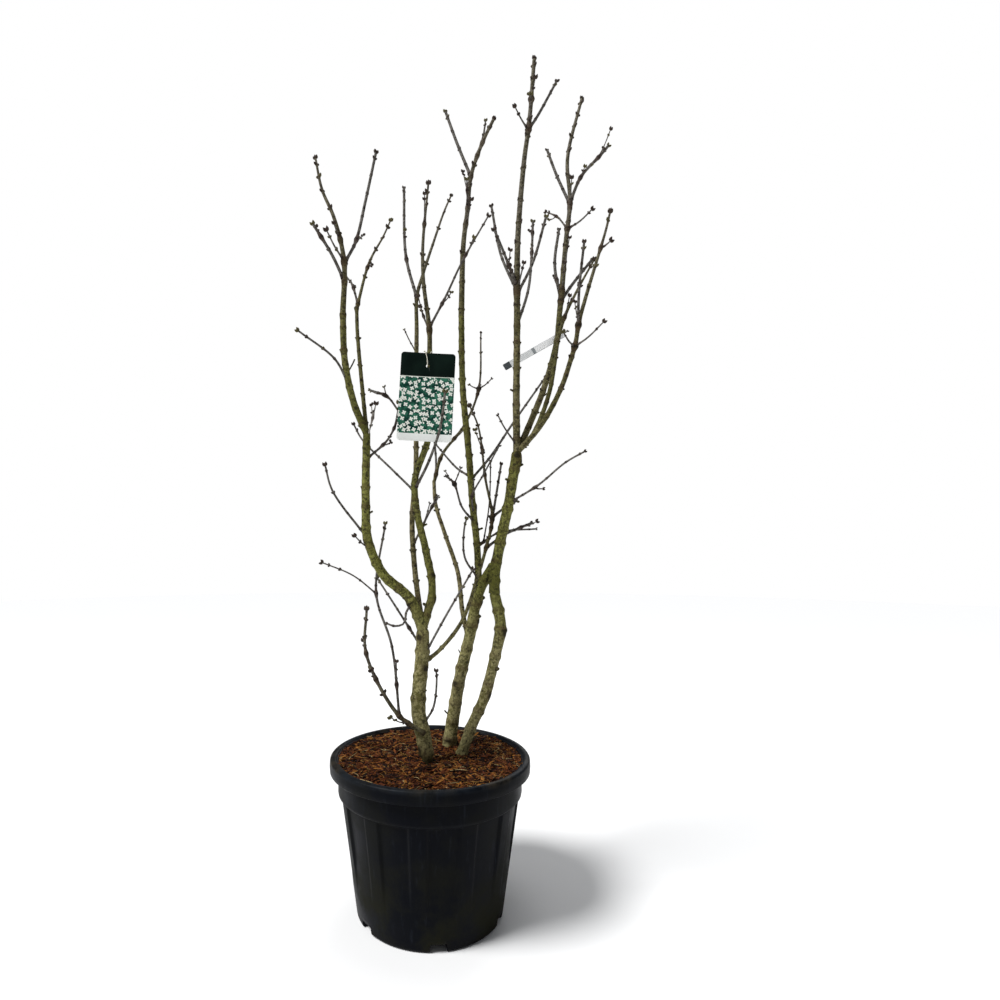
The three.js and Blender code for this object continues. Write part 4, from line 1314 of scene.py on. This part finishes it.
def bed_mesh():
    edge = MOUTH["radius"] - 0.6
    rings = [(radius, BED["level"]) for radius in np.arange(edge, BED["ring"], -BED["ring"])]
    foot = radius_at_height(BED["bottom"]) - POT["wall"]
    bm = lathe([(0, BED["bottom"]), (foot, BED["bottom"]), *rings, (0, BED["level"])], BED["steps"])
    for corner in bm.verts:
        if corner.co.z > BED["level"] - 1:
            corner.co.z = bed_height(corner.co.x, corner.co.y)
    return mesh_from(scaled(bm), "bed")


@lru_cache(maxsize=None)
def unit_chip():
    """A sliver of bark of length, width and thickness 1, pointed at its ends and a little bent."""
    bm = bmesh.new()
    bmesh.ops.create_cube(bm, size=1)
    along = [edge for edge in bm.edges if abs(edge.verts[0].co.x - edge.verts[1].co.x) > 0.5]
    bmesh.ops.subdivide_edges(bm, edges=along, cuts=2)
    for corner in bm.verts:
        narrow = 1 - 0.75 * (abs(corner.co.x) * 2) ** 2
        corner.co.y *= narrow
        corner.co.y += 0.25 * corner.co.x
        corner.co.z = corner.co.z * narrow - 1.2 * corner.co.x**2
    return shape_of(bm)


def spot_in_bed(random):
    """A random spot on the mulch, clear of the wall."""
    reach = (MOUTH["radius"] - 2) * math.sqrt(random.random())
    turn = random.random() * math.tau
    x, y = reach * math.cos(turn), reach * math.sin(turn)
    return np.array([x, y, bed_height(x, y)])


def tilted_axes(random, tilt):
    """Three square directions: along, across and up, turned freely and tilted a little."""
    turn = Matrix.Rotation(random.random() * math.tau, 3, "Z")
    lift = Matrix.Rotation(math.radians(random.normal(0, tilt / 2)), 3, "Y")
    roll = Matrix.Rotation(math.radians(random.normal(0, tilt)), 3, "X")
    return np.array((turn @ lift @ roll).transposed())


def chip_heap():
    random = np.random.default_rng(7)
    heap = Heap()
    for _ in range(CHIPS["count"]):
        size = [random.uniform(*CHIPS[part]) for part in ("long", "wide", "thick")]
        size[0] = min(size[0], size[1] * 8)
        axes = tilted_axes(random, CHIPS["tilt"]) * np.array(size)[:, None]
        place = spot_in_bed(random) + [0, 0, random.uniform(*CHIPS["lift"])]
        heap.add(placed(unit_chip(), place, axes), random.choice(len(CHIP_COLOURS), p=CHIP_SHARES))
    return heap


def fibre_heap():
    """Curved strands of coir, most of them lying, a few standing up."""
    random = np.random.default_rng(11)
    heap = Heap()
    for _ in range(FIBRES["count"]):
        length = random.uniform(*FIBRES["long"])
        girth = random.uniform(*FIBRES["girth"])
        axes = tilted_axes(random, FIBRES["tilt"])
        middle = spot_in_bed(random) + [0, 0, random.uniform(*FIBRES["lift"])]
        bend = random.uniform(-FIBRES["bend"], FIBRES["bend"]) * length * axes[1]
        bend = bend + random.uniform(0, FIBRES["rise"]) * length * axes[2]
        ends = [middle - axes[0] * length / 2 - bend, middle, middle + axes[0] * length / 2 - bend]
        path = Path([inside_wall(end) for end in ends])
        walks = np.linspace(0, path.length, 6)

        def radius_at(walk, angle, girth=girth, length=path.length):
            return girth / 2 * (0.35 + 0.65 * np.sin(np.pi * np.clip(walk / length, 0.05, 0.95)))

        heap.add(laid_tube(path, walks, radius_at, 5), random.choice(len(FIBRE_COLOURS), p=FIBRE_SHARES))
    return heap


def inside_wall(point):
    """The point, drawn in where it would come through the pot's wall."""
    reach = math.hypot(point[0], point[1])
    limit = MOUTH["radius"] - 1
    factor = min(1, limit / reach)
    return np.array([point[0] * factor, point[1] * factor, point[2]])


def add_mulch(materials):
    add_piece("mulch_bed", bed_mesh(), [materials["peat_and_gap_shade"]], ["soil"])
    add_piece("bark_chips", chip_heap().mesh("chips"), materials["chips"], flat=True)
    add_piece("coir_fibres", fibre_heap().mesh("fibres"), materials["fibres"])


# Labels


def plate(width, thickness, height, corner, strips):
    """An upright plate with rounded corners, cut across so that it can bend. Its front is at Y 0."""
    bm = bmesh.new()
    bmesh.ops.create_cube(bm, size=1)
    bmesh.ops.scale(bm, vec=(width, thickness, height), verts=bm.verts)
    bmesh.ops.translate(bm, vec=(0, thickness / 2, 0), verts=bm.verts)
    through = [edge for edge in bm.edges if abs(edge.verts[0].co.y - edge.verts[1].co.y) > thickness / 2]
    rounded(bm, through, corner, 6)
    for axis, size in ((0, width), (2, height)):
        normal = Vector((axis == 0, 0, axis == 2))
        for share in np.linspace(-0.5, 0.5, strips + 2)[1:-1]:
            everything = [*bm.verts, *bm.edges, *bm.faces]
            bmesh.ops.bisect_plane(bm, geom=everything, plane_co=normal * size * share, plane_no=normal)
    return bm


def bowed(bm, width, height, bow):
    """The plate's sides come forward by the bow, and a corner curls a little more."""
    for corner in bm.verts:
        across, up = corner.co.x / width * 2, corner.co.z / height * 2
        corner.co.y -= bow * (across**2 - 0.4) + 0.6 * bow * max(0, across * -up) ** 2
    return bm


def hung(bm, turn, middle):
    """Sets a plate in its place: turned about the depth axis, then moved. Millimetres."""
    spin = Matrix.Rotation(math.radians(turn), 3, "Y")
    bmesh.ops.rotate(bm, cent=(0, 0, 0), matrix=spin, verts=bm.verts)
    bmesh.ops.translate(bm, vec=middle, verts=bm.verts)
    return scaled(bm)


def softened(bm, offset):
    """Rounds the plate's thin edges."""
    rims = [edge for edge in bm.edges if edge.calc_face_angle(0) > 1]
    rounded(bm, rims, offset, 2)
    return bm


def card_mesh():
    size = CARD["width"], CARD["thickness"], CARD["height"]
    card = softened(plate(*size, CARD["corner"], CARD["strips"]), CARD["edge"])
    card = bowed(card, CARD["width"], CARD["height"], CARD["bow"])
    depth = CARD_HOLE["depth"]
    hole = plate(CARD_HOLE["width"], depth, CARD_HOLE["height"], CARD_HOLE["corner"], 0)
    up = CARD["height"] / 2 - CARD_HOLE["below"]
    bmesh.ops.translate(hole, vec=(0, -depth / 2, up), verts=hole.verts)
    turn, middle = CARD["turn"], CARD["middle"]
    return cut(mesh_from(hung(card, turn, middle), "card"), mesh_from(hung(hole, turn, middle), "hole"))


def strip_mesh():
    size = STRIP["length"], STRIP["thickness"], STRIP["width"]
    band = plate(*size, STRIP["corner"], STRIP["strips"])
    bmesh.ops.translate(band, vec=(0, -STRIP["thickness"] / 2, 0), verts=band.verts)
    softened(band, STRIP["edge"])
    return mesh_from(hung(band, -STRIP["rise"], STRIP["middle"]), "strip")


def tie_path():
    """A loop of wire from the card's hole over its top edge and round the bough behind it."""
    x, front = CARD["middle"][0] + 3, CARD["middle"][1]
    top = CARD["middle"][2] + CARD["height"] / 2
    hole = top - CARD_HOLE["below"]
    return Path([
        [x, front + 0.6, hole], [x, front - 2.6, hole + 6], [x - 1, front - 2.4, top - 14],
        [x - 6, front - 1, top + 4], [x - 9, front + 14, top + 9], [x - 3, front + 27, top + 11],
        [x + 7, front + 26, top + 11], [x + 11, front + 14, top + 8], [x + 5, front + 5, top - 6],
        [x + 1, front + 4, hole + 8],
    ], closed=True)


def tie_shape():
    path = tie_path()
    walks = np.linspace(0, path.length, 140)
    return laid_tube(path, walks, lambda walk, angle: np.full(len(walk), TIE_WIRE), 10)


def add_labels(materials):
    add_piece("hanging_card", card_mesh(), [materials["card"]], ["picture_card"])
    add_piece("marker_strip", strip_mesh(), [materials["strip"]], ["strip_label"])
    heap = Heap()
    heap.add(tie_shape())
    add_piece("wire_tie", heap.mesh("tie"), [materials["tie"]], ["card_tie"])


# Materials


def colour(code):
    """A linear colour from its hexadecimal code."""
    parts = [int(code[i:i + 2], 16) / 255 for i in (1, 3, 5)]
    linear = [part / 12.92 if part <= 0.04045 else ((part + 0.055) / 1.055) ** 2.4 for part in parts]
    return (*linear, 1)


class Graph:
    """Adds nodes to a node tree and joins their sockets."""

    def __init__(self, tree):
        self.tree = tree

    def feed(self, socket, value):
        if isinstance(value, bpy.types.NodeSocket):
            self.tree.links.new(value, socket)
        else:
            socket.default_value = value

    def node(self, kind, inputs=None, **settings):
        node = self.tree.nodes.new(kind)
        for name, value in settings.items():
            setattr(node, name, value)
        for name, value in (inputs or {}).items():
            self.feed(node.inputs[name], value)
        return node

    def math(self, operation, first, second=0.0, third=0.0):
        return self.node("ShaderNodeMath", {0: first, 1: second, 2: third}, operation=operation).outputs[0]

    def ramp(self, value, low, high):
        """0 below low, 1 above high, smooth between."""
        inputs = {"Value": value, "From Min": low, "From Max": high}
        return self.node("ShaderNodeMapRange", inputs, interpolation_type="SMOOTHSTEP").outputs["Result"]

    def blend(self, share, first, second):
        """The first colour, or the second where share is 1."""
        inputs = {0: share, 6: first, 7: second}
        return self.node("ShaderNodeMix", inputs, data_type="RGBA").outputs[2]

    def tint(self, skin, share, strength, shade):
        """The skin with a shade laid over it, so strongly where share is 1."""
        return self.blend(self.math("MULTIPLY", share, strength), skin, shade)

    def noise(self, place, scale, detail=3.0, rough=0.5):
        inputs = {"Vector": place, "Scale": scale, "Detail": detail, "Roughness": rough}
        return self.node("ShaderNodeTexNoise", inputs).outputs["Fac"]

    def stretched(self, place, scale):
        return self.node("ShaderNodeMapping", {"Vector": place, "Scale": scale}).outputs[0]

    def mark(self, name):
        """One of the marks that a heap writes on its corners."""
        return self.node("ShaderNodeAttribute", attribute_name=name).outputs["Fac"]

    def parts(self, vector):
        return self.node("ShaderNodeSeparateXYZ", {0: vector}).outputs

    def group(self, tree, inputs):
        node = self.tree.nodes.new("ShaderNodeGroup")
        node.node_tree = tree
        for name, value in inputs.items():
            self.feed(node.inputs[name], value)
        return node.outputs


def new_group(name, inputs, outputs):
    """An empty node group with sockets, and its graph with the group's input and output nodes."""
    tree = bpy.data.node_groups.new(name, "ShaderNodeTree")
    for side, sockets in (("INPUT", inputs), ("OUTPUT", outputs)):
        for socket, kind in sockets.items():
            tree.interface.new_socket(socket, in_out=side, socket_type="NodeSocket" + kind)
    graph = Graph(tree)
    return graph, graph.node("NodeGroupInput").outputs, graph.node("NodeGroupOutput").inputs


def new_material(name, roughness=0.6, specular=0.5):
    """A material, its graph, its shader's sockets and the place on the object."""
    material = bpy.data.materials.new(name)
    material.use_nodes = True
    graph = Graph(material.node_tree)
    shader = material.node_tree.nodes["Principled BSDF"].inputs
    shader["Roughness"].default_value = roughness
    shader["Specular IOR Level"].default_value = specular
    place = graph.node("ShaderNodeTexCoord").outputs["Object"]
    return material, graph, shader, place


def bump(graph, shader, height, strength, distance):
    inputs = {"Strength": strength, "Distance": distance, "Height": height}
    graph.feed(shader["Normal"], graph.node("ShaderNodeBump", inputs).outputs["Normal"])


MOSS_COLOUR = "#4b4b1c"
RUST_COLOUR = "#3f281d"
BARK_SHINE = 0.12
YOUNG_FROM = (0.7, 0.98)

# The bark's textures. A grain is [scale, detail, roughness]. Shows are the levels from which and at which
# a texture shows in full, and a share is how strongly it lies over the skin.
BARK_GRAIN = dict(
    patches=dict(grain=(17, 4, 0.6), full=0.62),
    mottle=dict(grain=(120, 4, 0.7), shows=(0.43, 0.6), share=0.95),
    streaks=dict(stretch=(150, 150, 14), grain=(1, 3, 0.6), shows=(0.53, 0.72), share=0.45),
    dashes=dict(stretch=(95, 95, 190), shows=(0.34, 0.16), share=0.75),
    moss=dict(shows=(0.2, 0.55)),
    specks=dict(grain=(125, 3, 0.65), shows=(0.52, 0.61), share=0.66),
    rust=dict(shows=(0.25, 0.6), share=0.7),
    scars=dict(ragged=0.5, shows=(0.42, 1.05), share=0.9),
)
WEAR_GRAIN = dict(
    scrapes=dict(stretch=(85, 85, 7), grain=(1, 5, 0.7), shows=(0.56, 0.74), share=0.6),
    clouds=dict(grain=(9, 5, 0.65), shows=(0.4, 0.66)),
    dust=dict(low_down=0.55, everywhere=0.26),
    moulding=dict(grain=(900, 2, 0.5), share=0.3),
)


def bark_group():
    """Bark: slow patches, mottling, streaks, dashes of lenticels, moss, dark specks, rust and scars."""
    graph, given, made = new_group(
        "bark",
        dict(
            Place="Vector", Base="Color", Patch="Color", Pale="Color", Dark="Color",
            Patches="Float", Dashes="Float",
        ),
        dict(Color="Color", Roughness="Float", Height="Float"),
    )
    g = BARK_GRAIN
    place, pale, dark = given["Place"], given["Pale"], given["Dark"]
    patch = graph.ramp(graph.noise(place, *g["patches"]["grain"]), given["Patches"], g["patches"]["full"])
    streaks = graph.noise(graph.stretched(place, g["streaks"]["stretch"]), *g["streaks"]["grain"])
    mottle = graph.noise(place, *g["mottle"]["grain"])
    skin = graph.blend(patch, given["Base"], given["Patch"])
    skin = graph.tint(skin, graph.ramp(mottle, *g["mottle"]["shows"]), g["mottle"]["share"], pale)
    skin = graph.tint(skin, graph.ramp(streaks, *g["streaks"]["shows"]), g["streaks"]["share"], dark)
    spread = {"Vector": graph.stretched(place, g["dashes"]["stretch"]), "Scale": 1}
    cells = graph.node("ShaderNodeTexVoronoi", spread)
    chosen = graph.ramp(graph.parts(cells.outputs["Color"])[0], given["Dashes"], 1.0)
    marked = graph.math("GREATER_THAN", chosen, 0.02)
    dash = graph.math("MULTIPLY", graph.ramp(cells.outputs["Distance"], *g["dashes"]["shows"]), marked)
    skin = graph.tint(skin, dash, g["dashes"]["share"], pale)
    green = graph.math("MULTIPLY", graph.mark("moss"), graph.ramp(mottle, *g["moss"]["shows"]))
    skin = graph.blend(green, skin, colour(MOSS_COLOUR))
    specks = graph.ramp(graph.noise(place, *g["specks"]["grain"]), *g["specks"]["shows"])
    skin = graph.tint(skin, specks, g["specks"]["share"], dark)
    rusty = graph.math("MULTIPLY", graph.mark("rust"), graph.ramp(mottle, *g["rust"]["shows"]))
    skin = graph.tint(skin, rusty, g["rust"]["share"], colour(RUST_COLOUR))
    scarred = graph.math("MULTIPLY_ADD", mottle, g["scars"]["ragged"], graph.mark("scar"))
    scarred = graph.ramp(scarred, *g["scars"]["shows"])
    graph.feed(made["Color"], graph.tint(skin, scarred, g["scars"]["share"], dark))
    graph.feed(made["Roughness"], graph.math("MULTIPLY_ADD", mottle, 0.3, 0.55))
    rise = graph.math("MULTIPLY_ADD", dash, 0.5, graph.math("MULTIPLY", streaks, 0.8))
    graph.feed(made["Height"], graph.math("ADD", rise, graph.math("MULTIPLY", mottle, 0.7)))
    return graph.tree


def wear_group():
    """Wear on moulded plastic: upright scrapes, cloudy dust towards the foot and a fine moulded grain."""
    graph, given, made = new_group(
        "plastic wear",
        dict(Place="Vector", Base="Color", Scrape="Color", Dust="Color", Low="Float", High="Float"),
        dict(Color="Color", Roughness="Float", Height="Float"),
    )
    g = WEAR_GRAIN
    place = given["Place"]
    scrapes = graph.noise(graph.stretched(place, g["scrapes"]["stretch"]), *g["scrapes"]["grain"])
    clouds = graph.noise(place, *g["clouds"]["grain"])
    low = graph.ramp(graph.parts(place)[2], given["High"], given["Low"])
    level = graph.math("MULTIPLY_ADD", low, g["dust"]["low_down"], g["dust"]["everywhere"])
    dust = graph.math("MULTIPLY", graph.ramp(clouds, *g["clouds"]["shows"]), level)
    thin = graph.ramp(scrapes, *g["scrapes"]["shows"])
    skin = graph.tint(given["Base"], thin, g["scrapes"]["share"], given["Scrape"])
    graph.feed(made["Color"], graph.blend(dust, skin, given["Dust"]))
    rough = graph.math("MULTIPLY_ADD", clouds, 0.22, 0.3)
    graph.feed(made["Roughness"], graph.math("MULTIPLY_ADD", dust, 0.35, rough))
    moulding = graph.math("MULTIPLY", graph.noise(place, *g["moulding"]["grain"]), g["moulding"]["share"])
    graph.feed(made["Height"], graph.math("MULTIPLY_ADD", scrapes, 0.6, moulding))
    return graph.tree


def floret_group():
    """Small four-petalled flowers, scattered: where their petals are and where their throats are."""
    graph, given, made = new_group(
        "florets", dict(Place="Vector", Scale="Float", Size="Float"), dict(Flower="Float", Throat="Float"),
    )
    cells = graph.node(
        "ShaderNodeTexVoronoi", {"Vector": given["Place"], "Scale": given["Scale"], "Randomness": 0.8},
    )
    sides = {0: given["Place"], 1: cells.outputs["Position"]}
    off = graph.node("ShaderNodeVectorMath", sides, operation="SUBTRACT")
    x, _, z = graph.parts(off.outputs[0])
    turn = graph.parts(cells.outputs["Color"])[1]
    turn = graph.math("MULTIPLY_ADD", turn, 3.0, graph.math("ARCTAN2", z, x))
    petals = graph.math("ABSOLUTE", graph.math("COSINE", graph.math("MULTIPLY", turn, 2.0)))
    reach = graph.math("MULTIPLY", graph.math("MULTIPLY_ADD", petals, 0.6, 0.4), given["Size"])
    far = graph.math("SQRT", graph.math("ADD", graph.math("MULTIPLY", x, x), graph.math("MULTIPLY", z, z)))
    graph.feed(made["Flower"], graph.math("LESS_THAN", far, reach))
    graph.feed(made["Throat"], graph.math("LESS_THAN", far, graph.math("MULTIPLY", given["Size"], 0.16)))
    return graph.tree


def bark_material(name, group, look, young=None, old=None):
    """Bark that turns young where it is marked so, and old low down, where such looks are given."""
    material, graph, shader, place = new_material(name, specular=BARK_SHINE)
    made = bark_skin(graph, group, place, look)
    skin = made["Color"]
    if young:
        skin = graph.blend(graph.mark("young"), skin, bark_skin(graph, group, place, young)["Color"])
    if old:
        height = graph.math("MULTIPLY_ADD", graph.noise(place, 12, 4, 0.6), 0.24, graph.parts(place)[2])
        share = graph.ramp(height, *YOUNG_FROM)
        skin = graph.blend(share, bark_skin(graph, group, place, old)["Color"], skin)
    graph.feed(shader["Base Color"], skin)
    graph.feed(shader["Roughness"], made["Roughness"])
    bump(graph, shader, made["Height"], look["bump"], 0.0012)
    return material


def bark_skin(graph, group, place, look):
    given = {part.title(): colour(look[part]) for part in ("base", "patch", "pale", "dark")}
    return graph.group(group, dict(given, Place=place, Patches=look["patches"], Dashes=look["dashes"]))


def plain_material(name, code, roughness, grain=0, mottle=0.25):
    """One colour, mottled darker and lighter, with a fine bump."""
    material, graph, shader, place = new_material(name, roughness, 0.12)
    base = colour(code)
    shade = tuple(part * (1 - mottle) for part in base[:3]) + (1,)
    light = tuple(min(1, part * (1 + mottle)) for part in base[:3]) + (1,)
    mottled = graph.ramp(graph.noise(place, 160), 0.35, 0.65)
    graph.feed(shader["Base Color"], graph.blend(mottled, shade, light))
    if grain:
        bump(graph, shader, graph.noise(place, grain, 3), 0.5, 0.0006)
    return material


def pot_material(group):
    material, graph, shader, place = new_material("nursery_pot_plastic", 0.5, 0.045)
    wear = graph.group(group, dict(
        Place=place, Base=colour("#06080e"), Scrape=colour("#1d2129"), Dust=colour("#1e1e13"),
        Low=0.02, High=0.24,
    ))
    z = graph.parts(place)[2]
    # The top of the rim is painted lighter in patches: a bluish painted highlight, turning to brown dust in
    # places
    cloud = graph.ramp(graph.noise(place, 38, 5, 0.7), 0.3, 0.62)
    rim = graph.math("MULTIPLY", graph.ramp(z, 0.372, 0.384), cloud)
    brown = graph.ramp(graph.noise(place, 6, 3), 0.42, 0.6)
    sheen_and_dust = graph.blend(brown, colour("#23282e"), colour("#3d372c"))
    skin = graph.tint(wear["Color"], rim, 0.5, sheen_and_dust)
    graph.feed(shader["Base Color"], skin)
    graph.feed(shader["Roughness"], wear["Roughness"])
    bump(graph, shader, wear["Height"], 0.35, 0.0008)
    return material


# Where the prints begin and end, in metres from the middle of a label's face, and how the florets lie
CARD_PRINT = dict(band=0.055, line=0.0009, foot=-0.101)
STRIP_PRINT = dict(cap=-0.082, bar=-0.006, bar_end=0.004, border=0.0088)
FLORETS = dict(Scale=62.0, Size=0.0062)


def on_label(graph, place, label, turn):
    """The place on a label: X across and Z up from its middle."""
    middle = [part * MM for part in label["middle"]]
    inputs = {"Vector": place, "Location": middle, "Rotation": (0, math.radians(turn), 0)}
    return graph.node("ShaderNodeMapping", inputs, vector_type="TEXTURE").outputs[0]


def card_material(florets):
    """Plastic printed on both sides: a dark band, a green field of white florets and a white foot."""
    material, graph, shader, place = new_material("card_print", 0.4, 0.06)
    spot = on_label(graph, place, CARD, CARD["turn"])
    z = graph.parts(spot)[2]
    light = graph.ramp(graph.noise(spot, 55, 4, 0.6), 0.4, 0.62)
    leaves = graph.blend(light, colour("#10352d"), colour("#37705a"))
    flowers = graph.group(florets, dict(FLORETS, Place=graph.stretched(spot, (1, 0, 1))))
    field = graph.blend(flowers["Flower"], leaves, colour("#eceee6"))
    field = graph.blend(flowers["Throat"], field, colour("#b9b98a"))
    band = graph.blend(graph.ramp(graph.noise(spot, 25), 0.3, 0.7), colour("#0a1411"), colour("#101d18"))
    face = graph.blend(graph.math("GREATER_THAN", z, CARD_PRINT["band"]), field, band)
    line = graph.math("COMPARE", z, CARD_PRINT["band"], CARD_PRINT["line"])
    face = graph.blend(line, face, colour("#d9ddd2"))
    face = graph.blend(graph.math("LESS_THAN", z, CARD_PRINT["foot"]), face, colour("#eef0ec"))
    graph.feed(shader["Base Color"], face)
    graph.feed(shader["Roughness"], graph.math("MULTIPLY_ADD", graph.noise(spot, 60), 0.2, 0.26))
    return material


def strip_material():
    """A plain printed strip: a dark grey end, a light zone, a grey bar, white, and a grey border."""
    material, graph, shader, place = new_material("strip_print", 0.4, 0.3)
    spot = on_label(graph, place, STRIP, -STRIP["rise"])
    along, _, across = graph.parts(spot)
    soft = graph.noise(spot, 45, 4, 0.6)
    white = graph.blend(graph.ramp(soft, 0.3, 0.7), colour("#f0f1f1"), colour("#fdfdfd"))
    border = graph.math("GREATER_THAN", graph.math("ABSOLUTE", across), STRIP_PRINT["border"])
    white = graph.tint(white, border, 0.7, colour("#8c8f96"))
    face = graph.blend(graph.math("LESS_THAN", along, STRIP_PRINT["bar_end"]), white, colour("#93989a"))
    face = graph.blend(graph.math("LESS_THAN", along, STRIP_PRINT["bar"]), face, colour("#e2e4e4"))
    face = graph.blend(graph.math("LESS_THAN", along, STRIP_PRINT["cap"]), face, colour("#4c5154"))
    graph.feed(shader["Base Color"], face)
    graph.feed(shader["Roughness"], graph.math("MULTIPLY_ADD", soft, 0.25, 0.28))
    return material


def mulch_materials():
    bed, graph, shader, place = new_material("peat_and_gap_shade", 0.9, 0.05)
    # The bed is dark peat, made darker still as painted shade in the gaps between the chips
    fine = graph.noise(place, 210, 5, 0.7)
    skin = graph.blend(graph.ramp(fine, 0.4, 0.62), colour("#120806"), colour("#3d1d10"))
    graph.feed(shader["Base Color"], skin)
    bump(graph, shader, fine, 1, 0.004)
    chips = [plain_material(f"chip_{i}", code, 0.8, 420) for i, code in enumerate(CHIP_COLOURS)]
    fibres = [plain_material(f"fibre_{i}", code, 0.7) for i, code in enumerate(FIBRE_COLOURS)]
    return dict(peat_and_gap_shade=bed, chips=chips, fibres=fibres)


# Looks of bark. Patches: the lower, the more of the second colour. Dashes: the lower, the more lenticels.
OLD_BARK = dict(
    base="#79734e", patch="#5f5b31", pale="#9c9568", dark="#221d12", patches=0.42, dashes=0.5, bump=1.0,
)
OLIVE_BARK = dict(
    base="#63632d", patch="#4a4725", pale="#868746", dark="#1f1c10", patches=0.45, dashes=0.55, bump=0.9,
)
GREY_BARK = dict(
    base="#645d40", patch="#4e492b", pale="#887f5e", dark="#1f1b13", patches=0.45, dashes=0.55, bump=0.9,
)
DUSK_BARK = dict(
    base="#4b4729", patch="#3c3722", pale="#6b6743", dark="#1b180f", patches=0.45, dashes=0.58, bump=0.7,
)
LEADER_BARK = dict(
    base="#514c3f", patch="#43402c", pale="#746e5e", dark="#1f1914", patches=0.45, dashes=0.62, bump=0.5,
)
SHOOT_BARK = dict(
    base="#55524c", patch="#45413b", pale="#74706a", dark="#1c1815", patches=0.45, dashes=0.66, bump=0.4,
)
PALE_BARK = dict(
    base="#8f8c84", patch="#77736a", pale="#b0aea8", dark="#4a4640", patches=0.45, dashes=0.66, bump=0.4,
)


def plant_materials(group):
    """Bark for each age of wood, and two colours of bud scales."""
    return dict(
        olive_bark=bark_material("olive_bark", group, OLIVE_BARK, DUSK_BARK, OLD_BARK),
        grey_bark=bark_material("grey_bark", group, GREY_BARK, DUSK_BARK, OLD_BARK),
        leader_bark=bark_material("leader_bark", group, DUSK_BARK, LEADER_BARK),
        shoot_bark=bark_material("shoot_bark", group, SHOOT_BARK),
        pale_bark=bark_material("pale_bark", group, PALE_BARK),
        bud_brown=plain_material("bud_brown", "#3a3029", 0.5, 500),
        bud_green=plain_material("bud_green", "#514c30", 0.5, 500),
    )


# Light and floor

LIGHTS = {
    "top": dict(place=(0.3, 0.6, 5.2), aim=(0, 0, 1.0), size=2.2, power=40),
    "back": dict(place=(1.6, 4.2, 2.6), aim=(0, 0, 1.2), size=2.6, power=35),
}
KEY = dict(aim=(0.72, 0.34, -0.95), strength=3.6, angle=22)
AROUND = dict(colour=(0.93, 0.96, 1, 1), strength=0.2)
FLOOR = dict(radius=14, sides=96, level=-0.001, colour=(0.95, 0.95, 0.95, 1))


def aimed(direction):
    """The turn that makes a light shine in a direction."""
    return direction.to_track_quat("-Z", "Y").to_euler()


def add_key():
    data = bpy.data.lights.new("key", "SUN")
    data.energy = KEY["strength"]
    data.angle = math.radians(KEY["angle"])
    in_scene("key", data).rotation_euler = aimed(Vector(KEY["aim"]))


def add_light(name, row):
    data = bpy.data.lights.new(name, "AREA")
    data.size = row["size"]
    data.energy = row["power"]
    light = in_scene(name, data)
    light.location = row["place"]
    light.rotation_euler = aimed(Vector(row["aim"]) - Vector(row["place"]))


def add_world():
    """White behind the object, and a softer white that lights it from all round."""
    world = bpy.data.worlds.new("studio")
    world.use_nodes = True
    bpy.context.scene.world = world
    graph = Graph(world.node_tree)
    seen = world.node_tree.nodes["Background"]
    seen.inputs["Color"].default_value = (1, 1, 1, 1)
    lit = {"Color": AROUND["colour"], "Strength": AROUND["strength"]}
    around = graph.node("ShaderNodeBackground", lit)
    straight = graph.node("ShaderNodeLightPath").outputs["Is Camera Ray"]
    both = graph.node("ShaderNodeMixShader", {0: straight, 1: around.outputs[0], 2: seen.outputs[0]})
    graph.feed(world.node_tree.nodes["World Output"].inputs["Surface"], both.outputs[0])


def add_floor():
    bm = bmesh.new()
    bmesh.ops.create_circle(bm, cap_ends=True, segments=FLOOR["sides"], radius=FLOOR["radius"])
    floor = in_scene("floor", mesh_from(bm, "floor"))
    material, _, shader, _ = new_material("floor_white", 0.9, 0.1)
    shader["Base Color"].default_value = FLOOR["colour"]
    floor.data.materials.append(material)
    floor.location.z = FLOOR["level"]


def build():
    bark = bark_group()
    plant = plant_materials(bark)
    florets = floret_group()
    tie = plain_material("tie_coat", "#d9d5c4", 0.5, mottle=0.1)
    add_pot(pot_material(wear_group()))
    add_mulch(mulch_materials())
    add_limbs(plant)
    add_crown(plant)
    add_labels(dict(card=card_material(florets), strip=strip_material(), tie=tie))
    add_key()
    for name, row in LIGHTS.items():
        add_light(name, row)
    add_world()
    add_floor()
    bpy.context.scene.view_settings.view_transform = "Standard"


build()
